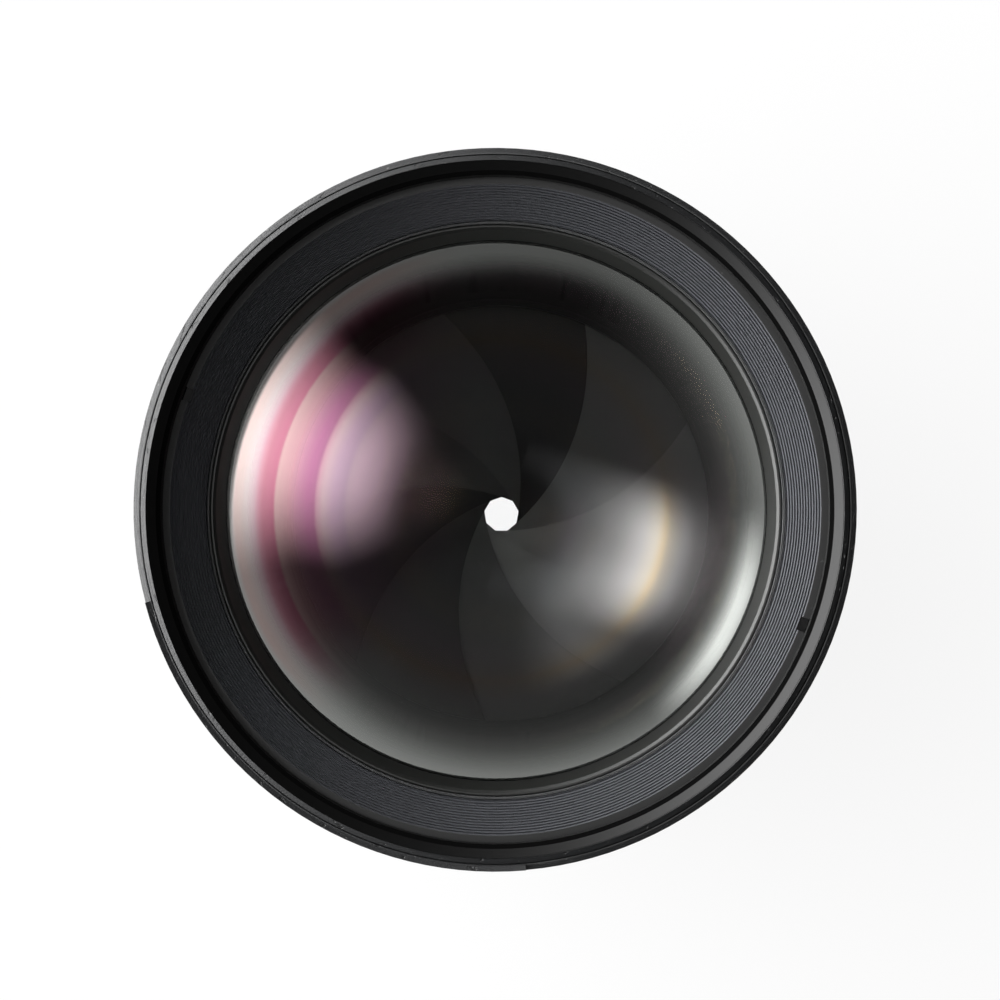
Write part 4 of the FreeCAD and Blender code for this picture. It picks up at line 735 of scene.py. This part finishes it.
# %% Ribbed baffle
LIP_TOP = 78.5
LIP_OUTER = 35.55
LIP_STEP = 0.35
BAFFLE_INNER = 31.2
BAFFLE_DEPTH = 3.3
BAFFLE_REAR = 73.7
RIBS = 13
RIB_RUN_SHARE = 0.55
RIB_VALLEY = 0.044
RIB_CREST = 0.132
NOTCH_FLOOR = 77.3
NOTCH_INNER = 34.5
NOTCH_HALF_ANGLE = 1.22
NOTCH_AZIMUTHS = (-20.5, 159.5)
FINE_STEP = 0.5
HAIR = 0.01


def in_notch(azimuth):
    offsets = [abs((azimuth - middle + 180) % 360 - 180) for middle in NOTCH_AZIMUTHS]
    return min(offsets) < NOTCH_HALF_ANGLE


def baffle_outline(azimuth):
    top = LIP_TOP - LIP_STEP
    run = (LIP_RADIUS - BAFFLE_INNER) / RIBS
    fall = (BAFFLE_DEPTH - LIP_STEP) / RIBS
    points = [(LIP_OUTER, BAFFLE_REAR), (LIP_OUTER, LIP_TOP), (LIP_RADIUS, LIP_TOP), (LIP_RADIUS, top)]
    for rib in range(RIBS):
        radius = LIP_RADIUS - run * rib
        floor_of_rib = top - fall * (rib + 1)
        points.append((radius - run * RIB_RUN_SHARE, floor_of_rib - RIB_VALLEY))
        points.append((radius - run, floor_of_rib + RIB_CREST))
    points.append((BAFFLE_INNER, BAFFLE_REAR))
    if in_notch(azimuth):
        points[1:5] = [(LIP_OUTER, NOTCH_FLOOR), (LIP_RADIUS, NOTCH_FLOOR),
                       (NOTCH_INNER + HAIR, NOTCH_FLOOR), (NOTCH_INNER, NOTCH_FLOOR + HAIR)]
    return points


fine_azimuths = [FINE_STEP * step for step in range(round(360 / FINE_STEP))]
notch_edges = [
    (middle + side * (NOTCH_HALF_ANGLE + past)) % 360
    for middle in NOTCH_AZIMUTHS for side in (-1, 1) for past in (-HAIR, HAIR)
]
fine_ribs = turned_piece("fine_ribs", baffle_outline, sorted(fine_azimuths + notch_edges),
                         finishes["baffle_black"], "optical_unit")
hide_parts("ribbed_baffle")

# %% [markdown]
# Between the ribs and the ring that holds the glass lies a thin sealing ring. In the
# photograph it shows as two fine light lines on the right. It is a separate small turning
# with two crests, and it stands in the gap between its neighbours.

# %% Sealing ring
SEAL_OUTLINE = (
    (31.14, 73.72), (31.14, 74.86), (31.08, 74.98), (31.02, 74.80),
    (30.97, 74.80), (30.92, 74.96), (30.86, 74.84), (30.86, 73.72),
)
seal_finish = flat_black("satin_black_seal", (0.085, 0.086, 0.088), 0.38, grain_depth=0.002, specular=1.0)
turned_piece("sealing_ring", lambda azimuth: SEAL_OUTLINE, fine_azimuths, seal_finish,
             "optical_unit")

# %% [markdown]
# The filter thread has a pitch of 0.75 mm, and nearly three turns of it fit in the mouth.
# A helix can't be turned, so its outline climbs by one pitch for each turn, and both its
# ends taper into the wall. The ridge is kept low, a tenth of a millimetre, because the
# wall that it stands on is already at the thread's smallest radius.

# %% Filter thread
THREAD_WALL = 35.6
THREAD_PITCH = 0.75
THREAD_START = 78.75
THREAD_TURNS = 2.7
THREAD_PROUD = 0.10
THREAD_SUNK = 0.02
RIDGE_HALF_FOOT = 0.26
RIDGE_HALF_TOP = 0.06
THREAD_STEPS = 240
TAPER_STEPS = 20
last_step = round(THREAD_TURNS * THREAD_STEPS)
thread_points = []
for step in range(last_step + 1):
    turn = 2 * math.pi * step / THREAD_STEPS
    level = THREAD_START + THREAD_PITCH * step / THREAD_STEPS
    proud = THREAD_PROUD * min(1.0, step / TAPER_STEPS, (last_step - step) / TAPER_STEPS)
    foot, top = THREAD_WALL + THREAD_SUNK, THREAD_WALL - proud
    ridge = ((foot, -RIDGE_HALF_FOOT), (foot, RIDGE_HALF_FOOT), (top, RIDGE_HALF_TOP), (top, -RIDGE_HALF_TOP))
    thread_points += [on_ring(radius, turn, level + rise) for radius, rise in ridge]
thread_finish = flat_black("satin_black_thread", (0.003, 0.003, 0.003), 0.5, grain_depth=0.002, specular=0.3)
new_piece("filter_thread", thread_points, skin(last_step + 1, 4, closed=False), thread_finish,
          "optical_unit")

# %% [markdown]
# The figures on the rings are white enamel that stands a hair proud of the metal. A text
# curve with the default font gives their outlines. Each point of its mesh is then laid on
# the ring: its x becomes a turn round the axis, its y a height, and its z a small
# distance out. All have their heads towards the front.

# %% Lay flat outlines on a ring
PROUD = 0.02
LINE_STEPS = 16
FONT_STEPS = 5
white_enamel = moulded("white_enamel", (0.72, 0.72, 0.70), 0.35)


def straight(radius):
    """The radius at any height of a ring that doesn't taper."""
    return lambda height: radius


def wrapped(name, flat_points, faces, azimuth, level, radius_at, body):
    """Lay points of a flat outline on a ring, round an azimuth and above a level."""
    points = []
    for x, y, z in flat_points:
        radius = radius_at(level + y)
        points.append(on_ring(radius + PROUD + z, math.radians(azimuth) + x / radius, level + y))
    return new_piece(name, points, faces, white_enamel, body)


def figure(name, words, size, azimuth, level, radius_at, body):
    curve = bpy.data.curves.new(name + "_outline", "FONT")
    curve.body = words
    curve.size = size
    curve.align_x = "CENTER"
    curve.align_y = "CENTER"
    curve.resolution_u = FONT_STEPS
    curve.extrude = PROUD
    holder = bpy.data.objects.new(name + "_outline", curve)
    mesh = bpy.data.meshes.new_from_object(holder)
    flat_points = [tuple(vertex.co) for vertex in mesh.vertices]
    faces = [tuple(polygon.vertices) for polygon in mesh.polygons]
    bpy.data.objects.remove(holder)
    bpy.data.curves.remove(curve)
    bpy.data.meshes.remove(mesh)
    return wrapped(name, flat_points, faces, azimuth, level, radius_at, body)


def across_line(left, right):
    """The four corners of a stroke, between two flat points at its left and right edge."""
    return [(*left, -PROUD), (*right, -PROUD), (*right, PROUD), (*left, PROUD)]


def line_mark(name, width, low, high, azimuth, radius_at, body):
    """An upright line from one height to another, in short steps so that it follows the ring."""
    flat_points = []
    for step in range(LINE_STEPS + 1):
        y = (high - low) * step / LINE_STEPS
        flat_points += across_line((-width / 2, y), (width / 2, y))
    faces = skin(LINE_STEPS + 1, 4, closed=False)
    return wrapped(name, flat_points, faces, azimuth, low, radius_at, body)


print("outlines can be laid on rings")

# %% [markdown]
# The aperture figures stand one click apart, so the angle between them comes from the
# aperture ring's own range in the record, divided by the number of clicks. The widest
# opening comes last in the direction in which the ring turns.

# %% Aperture figures
INDEX_AZIMUTH = 90.0
STOPS = ("22", "16", "11", "8", "5.6", "4", "2.8", "1.8")
STOP_SIZE = 3.0
STOP_LEVEL = 21.6
APERTURE_RING = straight(36.2)
joints = {joint["name"]: joint for joint in frame["joints"]}
click = joints["aperture_turn"]["range_deg"][1] / (len(STOPS) - 1)
for number, stop in enumerate(STOPS):
    azimuth = INDEX_AZIMUTH - click * number
    figure("stop_" + stop, stop, STOP_SIZE, azimuth, STOP_LEVEL, APERTURE_RING, "aperture_control")

# %% [markdown]
# The fixed ring carries the index line and a depth scale. The depth of what looks sharp
# grows with the stop's number, and so does the angle, in degrees, between the index and
# the pair of lines on either side of it. The ring has a cone in its middle, which both
# the lines and the figures follow.

# %% Index line and depth scale on the fixed ring
SCALE_REAR_RADIUS = 36.2
SCALE_FRONT_RADIUS = 37.4
SCALE_CONE_REAR = 27.8
SCALE_CONE_FRONT = 31.0
INDEX_WIDTH = 0.4
INDEX_LOW = 25.0
LINES_HIGH = 32.8
DEPTH_LINE_WIDTH = 0.16
DEPTH_LINE_LOW = 31.2
DEPTH_MARKS = (("8", 3.0), ("11", 4.1), ("16", 6.0), ("22", 8.25))
DEPTH_FIGURES = ("11", "22")
DEPTH_FIGURE_SIZE = 1.7
DEPTH_FIGURE_LEVEL = 29.4


def fixed_ring(height):
    share = (height - SCALE_CONE_REAR) / (SCALE_CONE_FRONT - SCALE_CONE_REAR)
    share = min(1.0, max(0.0, share))
    return SCALE_REAR_RADIUS + share * (SCALE_FRONT_RADIUS - SCALE_REAR_RADIUS)


line_mark("index_line", INDEX_WIDTH, INDEX_LOW, LINES_HIGH, INDEX_AZIMUTH, fixed_ring, "fixed_barrel")
for stop, offset in DEPTH_MARKS:
    for side, sign in (("near", -1), ("far", 1)):
        azimuth = INDEX_AZIMUTH + sign * offset
        line_mark(f"depth_{side}_{stop}", DEPTH_LINE_WIDTH, DEPTH_LINE_LOW, LINES_HIGH, azimuth,
                  fixed_ring, "fixed_barrel")
        if stop in DEPTH_FIGURES:
            figure(f"depth_figure_{side}_{stop}", stop, DEPTH_FIGURE_SIZE, azimuth,
                   DEPTH_FIGURE_LEVEL, fixed_ring, "fixed_barrel")

# %% [markdown]
# Each distance stands where the focus ring has to turn for it. A lens of focal length f
# that has slid out by s is sharp at a distance of 2 f + f f / s + s from the image, plus the
# small gap between its two principal planes. Solved for s, and with the turn and the
# slide from the record, that gives the angle of each figure in metres.

# %% Distances on the focus ring
FOCAL_LENGTH = 85.0
PLANES_APART = 13.4
DISTANCES = ("10", "5", "3", "2", "1.5", "1.2", "1.1")
DISTANCE_SIZE = 2.3
DISTANCE_LEVEL = 35.6
FOCUS_BAND = straight(37.4)
full_turn = joints["focus_turn"]["range_deg"][1]
full_slide = joints["focus_slide"]["range_m"][1] / MM


def turned_for(metres):
    """How far the focus ring has turned when the lens is sharp that far from the image."""
    reach = metres / MM - 2 * FOCAL_LENGTH - PLANES_APART
    slide = (reach - math.sqrt(reach ** 2 - 4 * FOCAL_LENGTH ** 2)) / 2
    return full_turn * slide / full_slide


for distance in DISTANCES:
    azimuth = INDEX_AZIMUTH - turned_for(float(distance))
    figure("distance_" + distance, distance, DISTANCE_SIZE, azimuth, DISTANCE_LEVEL, FOCUS_BAND,
           "focus_control")

# %% [markdown]
# The sign for the farthest distance is a figure eight on its side. The default font may
# lack it, so it is drawn as a curve: one turn of a sine across, two turns up and down.

# %% The far end of the distance scale
LOOP_HALF_WIDTH = 1.25
LOOP_HEIGHT = 1.1
LOOP_LINE = 0.13
LOOP_STEPS = 64
loop_points = []
for step in range(LOOP_STEPS):
    angle = 2 * math.pi * step / LOOP_STEPS
    middle = Vector((LOOP_HALF_WIDTH * math.sin(angle), LOOP_HEIGHT * math.sin(2 * angle) / 2))
    along = Vector((LOOP_HALF_WIDTH * math.cos(angle), LOOP_HEIGHT * math.cos(2 * angle)))
    sideways = Vector((along.y, -along.x)) * (LOOP_LINE / along.length)
    loop_points += across_line(middle - sideways, middle + sideways)
wrapped("distance_infinity", loop_points, skin(LOOP_STEPS, 4, closed=True), INDEX_AZIMUTH,
        DISTANCE_LEVEL, FOCUS_BAND, "focus_control")

# %% [markdown]
# The floor is a plain pale sheet. For the camera it is lit from within to a plain
# white, as a light table is, and keeps part of its own shading, so that the lens
# still leaves a soft shadow on it. Mirrors and glass see the same white.

# %% Floor
FLOOR_HALF = 3.0
FLOOR_TONE = 0.85
GLOW_SHARE = 0.88
floor_level = cad_box[0][2]
floor_corners = [
    (x, y, floor_level)
    for x, y in ((-FLOOR_HALF, -FLOOR_HALF), (FLOOR_HALF, -FLOOR_HALF),
                 (FLOOR_HALF, FLOOR_HALF), (-FLOOR_HALF, FLOOR_HALF))
]
floor_mesh = bpy.data.meshes.new("floor")
floor_mesh.from_pydata(floor_corners, [], [(0, 1, 2, 3)])
floor = bpy.data.objects.new("floor", floor_mesh)
bpy.context.scene.collection.objects.link(floor)
floor_finish, wire, shader = new_finish("pale_floor")
set_shader(wire, shader, Base_Color=colour(FLOOR_TONE), Roughness=0.9)
seen = wire.add("LightPath", out="Is Camera Ray") * GLOW_SHARE
for ray in ("Is Glossy Ray", "Is Transmission Ray"):
    seen = seen + wire.add("LightPath", out=ray)
glow = wire.add("Emission", Color=colour(1.0), Strength=1.0)
share_lit = math_of(wire, "MINIMUM", seen, 1.0)
show(wire, wire.add("MixShader", s0=share_lit, s1=light_from(wire, shader), s2=glow))
floor_mesh.materials.append(floor_finish)
print("floor at", floor_level)

# %% [markdown]
# The studio is painted into the world by direction: the tilt away from straight up, and
# the turn round the axis. The front glass is a convex mirror, so the steeper it is,
# the lower it looks into the room, and each light leaves its own mark on it. Two helpers
# cut a light out of the room: a window in the turn and a band in the tilt, both in
# degrees and with soft edges.

# %% Directions in the studio
world = bpy.data.worlds.new("studio")
bpy.context.scene.world = world
world.use_nodes = True
wire = Wire(world.node_tree)
direction = wire.add("TexCoord", out="Generated")
tilt = math_of(wire, "ARCCOSINE", wire.add("SeparateXYZ", out="Z", Vector=direction)) * DEGREES
LOWEST_TILT = 90


def window(azimuth, full, gone):
    """1 as far as full degrees to either side of an azimuth, and 0 from gone degrees on."""
    return 1 - aside(wire, direction, azimuth).between(full, gone)


def band(starts, full, fades, ends):
    """1 between two tilts, with a soft edge at each end."""
    return tilt.between(starts, full) * (1 - tilt.between(fades, ends))


print("directions are ready")

# %% [markdown]
# On the left stands a large softbox. It ends sharply at its lower side, fades upwards and
# is a little narrower below. Lower down on the same side a bright wall lights the
# slopes that face it: the far side of the mouth and the near side of the rim.

# %% Softbox and side wall on the left
SOFTBOX_STRENGTH = 4.2
SIDE_WALL_STRENGTH = 11.5
SOFTBOX_AZIMUTH = 162
SIDE_WALL_AZIMUTH = 165
softbox_window = window(SOFTBOX_AZIMUTH, 1, 37 - tilt.between(17, 23) * 5)
softbox = band(9.6, 16.8, 28.85, 29.35) * softbox_window * SOFTBOX_STRENGTH
side_wall = tilt.between(48, 60) * window(SIDE_WALL_AZIMUTH, 20, 72) * SIDE_WALL_STRENGTH
print("left side is lit")

# %% [markdown]
# The room is dark above and below, with a pale band some 25 to 35 degrees away from
# straight up, which gives the front glass its grey ring. One side of it, at the top of the
# picture, is darker than the rest. Both are curves of (tilt, brightness), mixed by the turn.

# %% The room
DARK_AZIMUTH = 100
ROOM_BY_TILT = (
    (0, 0.02), (11, 0.025), (16.3, 0.04), (19, 0.06), (20.4, 0.08), (22.4, 0.14), (23.3, 0.20),
    (24.3, 0.28), (25.2, 0.42), (26.2, 0.60), (27.1, 0.78), (28.1, 0.92), (31, 0.92),
    (37, 0.08), (90, 0.05),
)
DARK_SIDE_BY_TILT = (
    (0, 0.01), (11, 0.012), (16.3, 0.015), (20, 0.017), (23, 0.015), (24.1, 0.014), (24.7, 0.02),
    (25.3, 0.035), (26.0, 0.09), (26.6, 0.17), (27.2, 0.26), (28.1, 0.34), (31, 0.36),
    (37, 0.04), (90, 0.03),
)
dark_side = tilt.curve(DARK_SIDE_BY_TILT, LOWEST_TILT)
pale_side = tilt.curve(ROOM_BY_TILT, LOWEST_TILT)
room = aside(wire, direction, DARK_AZIMUTH).between(25, 80).mix(dark_side, pale_side)
print("room is lit")

# %% [markdown]
# On the right a lamp high up and a narrow strip below it each leave one highlight: the
# lamp the soft round one in the glass, the strip the bright streak at its edge. A faint
# fill lamp stands beside them, towards the lower right of the picture.

# %% Lamps on the right
LAMPS_STRENGTH = 4.7
FILL_STRENGTH = 0.3
LAMP_AZIMUTH = -16
STRIP_AZIMUTH = -25
FILL_AZIMUTH = -46
LAMP_BY_TILT = (
    (4.5, 0.0), (7.2, 0.05), (8.5, 0.08), (9.6, 0.13), (10.9, 0.20), (11.9, 0.28), (13.1, 0.42),
    (14.4, 0.58), (15.0, 0.66), (15.6, 0.70), (16.1, 0.65), (16.7, 0.40), (17.7, 0.27), (19.5, 0.1),
    (21.7, 0.04), (23.5, 0.0),
)
STRIP_BY_TILT = (
    (22.6, 0.0), (23.6, 0.06), (24.3, 0.18), (25.1, 0.45), (25.7, 0.74), (26.5, 0.66), (27.2, 0.36),
    (29, 0.10), (31, 0.0),
)
lamp_window = 1 - across(wire, direction, LAMP_AZIMUTH).between(0.03, 0.15)
lamp = tilt.curve(LAMP_BY_TILT, LOWEST_TILT) * lamp_window
strip = tilt.curve(STRIP_BY_TILT, LOWEST_TILT) * window(STRIP_AZIMUTH, 4, 30)
fill = band(5.5, 11, 15.5, 19) * window(FILL_AZIMUTH, 8, 42)
print("right side is lit")

# %% [markdown]
# All lights are added up for the world's colour. The camera itself sees plain white
# instead, as it does on the floor, so that no light shows behind the lens.

# %% Put the studio together
light = room + (lamp + strip) * LAMPS_STRENGTH + fill * FILL_STRENGTH + softbox + side_wall
backdrop = world.node_tree.nodes["Background"]
camera_ray = wire.add("LightPath", out="Is Camera Ray")
wire.feed(backdrop.inputs["Color"], camera_ray.mix(light, 1.0))
backdrop.inputs["Strength"].default_value = 1.0
print("studio is lit")

# %% [markdown]

# %% Finish
import json
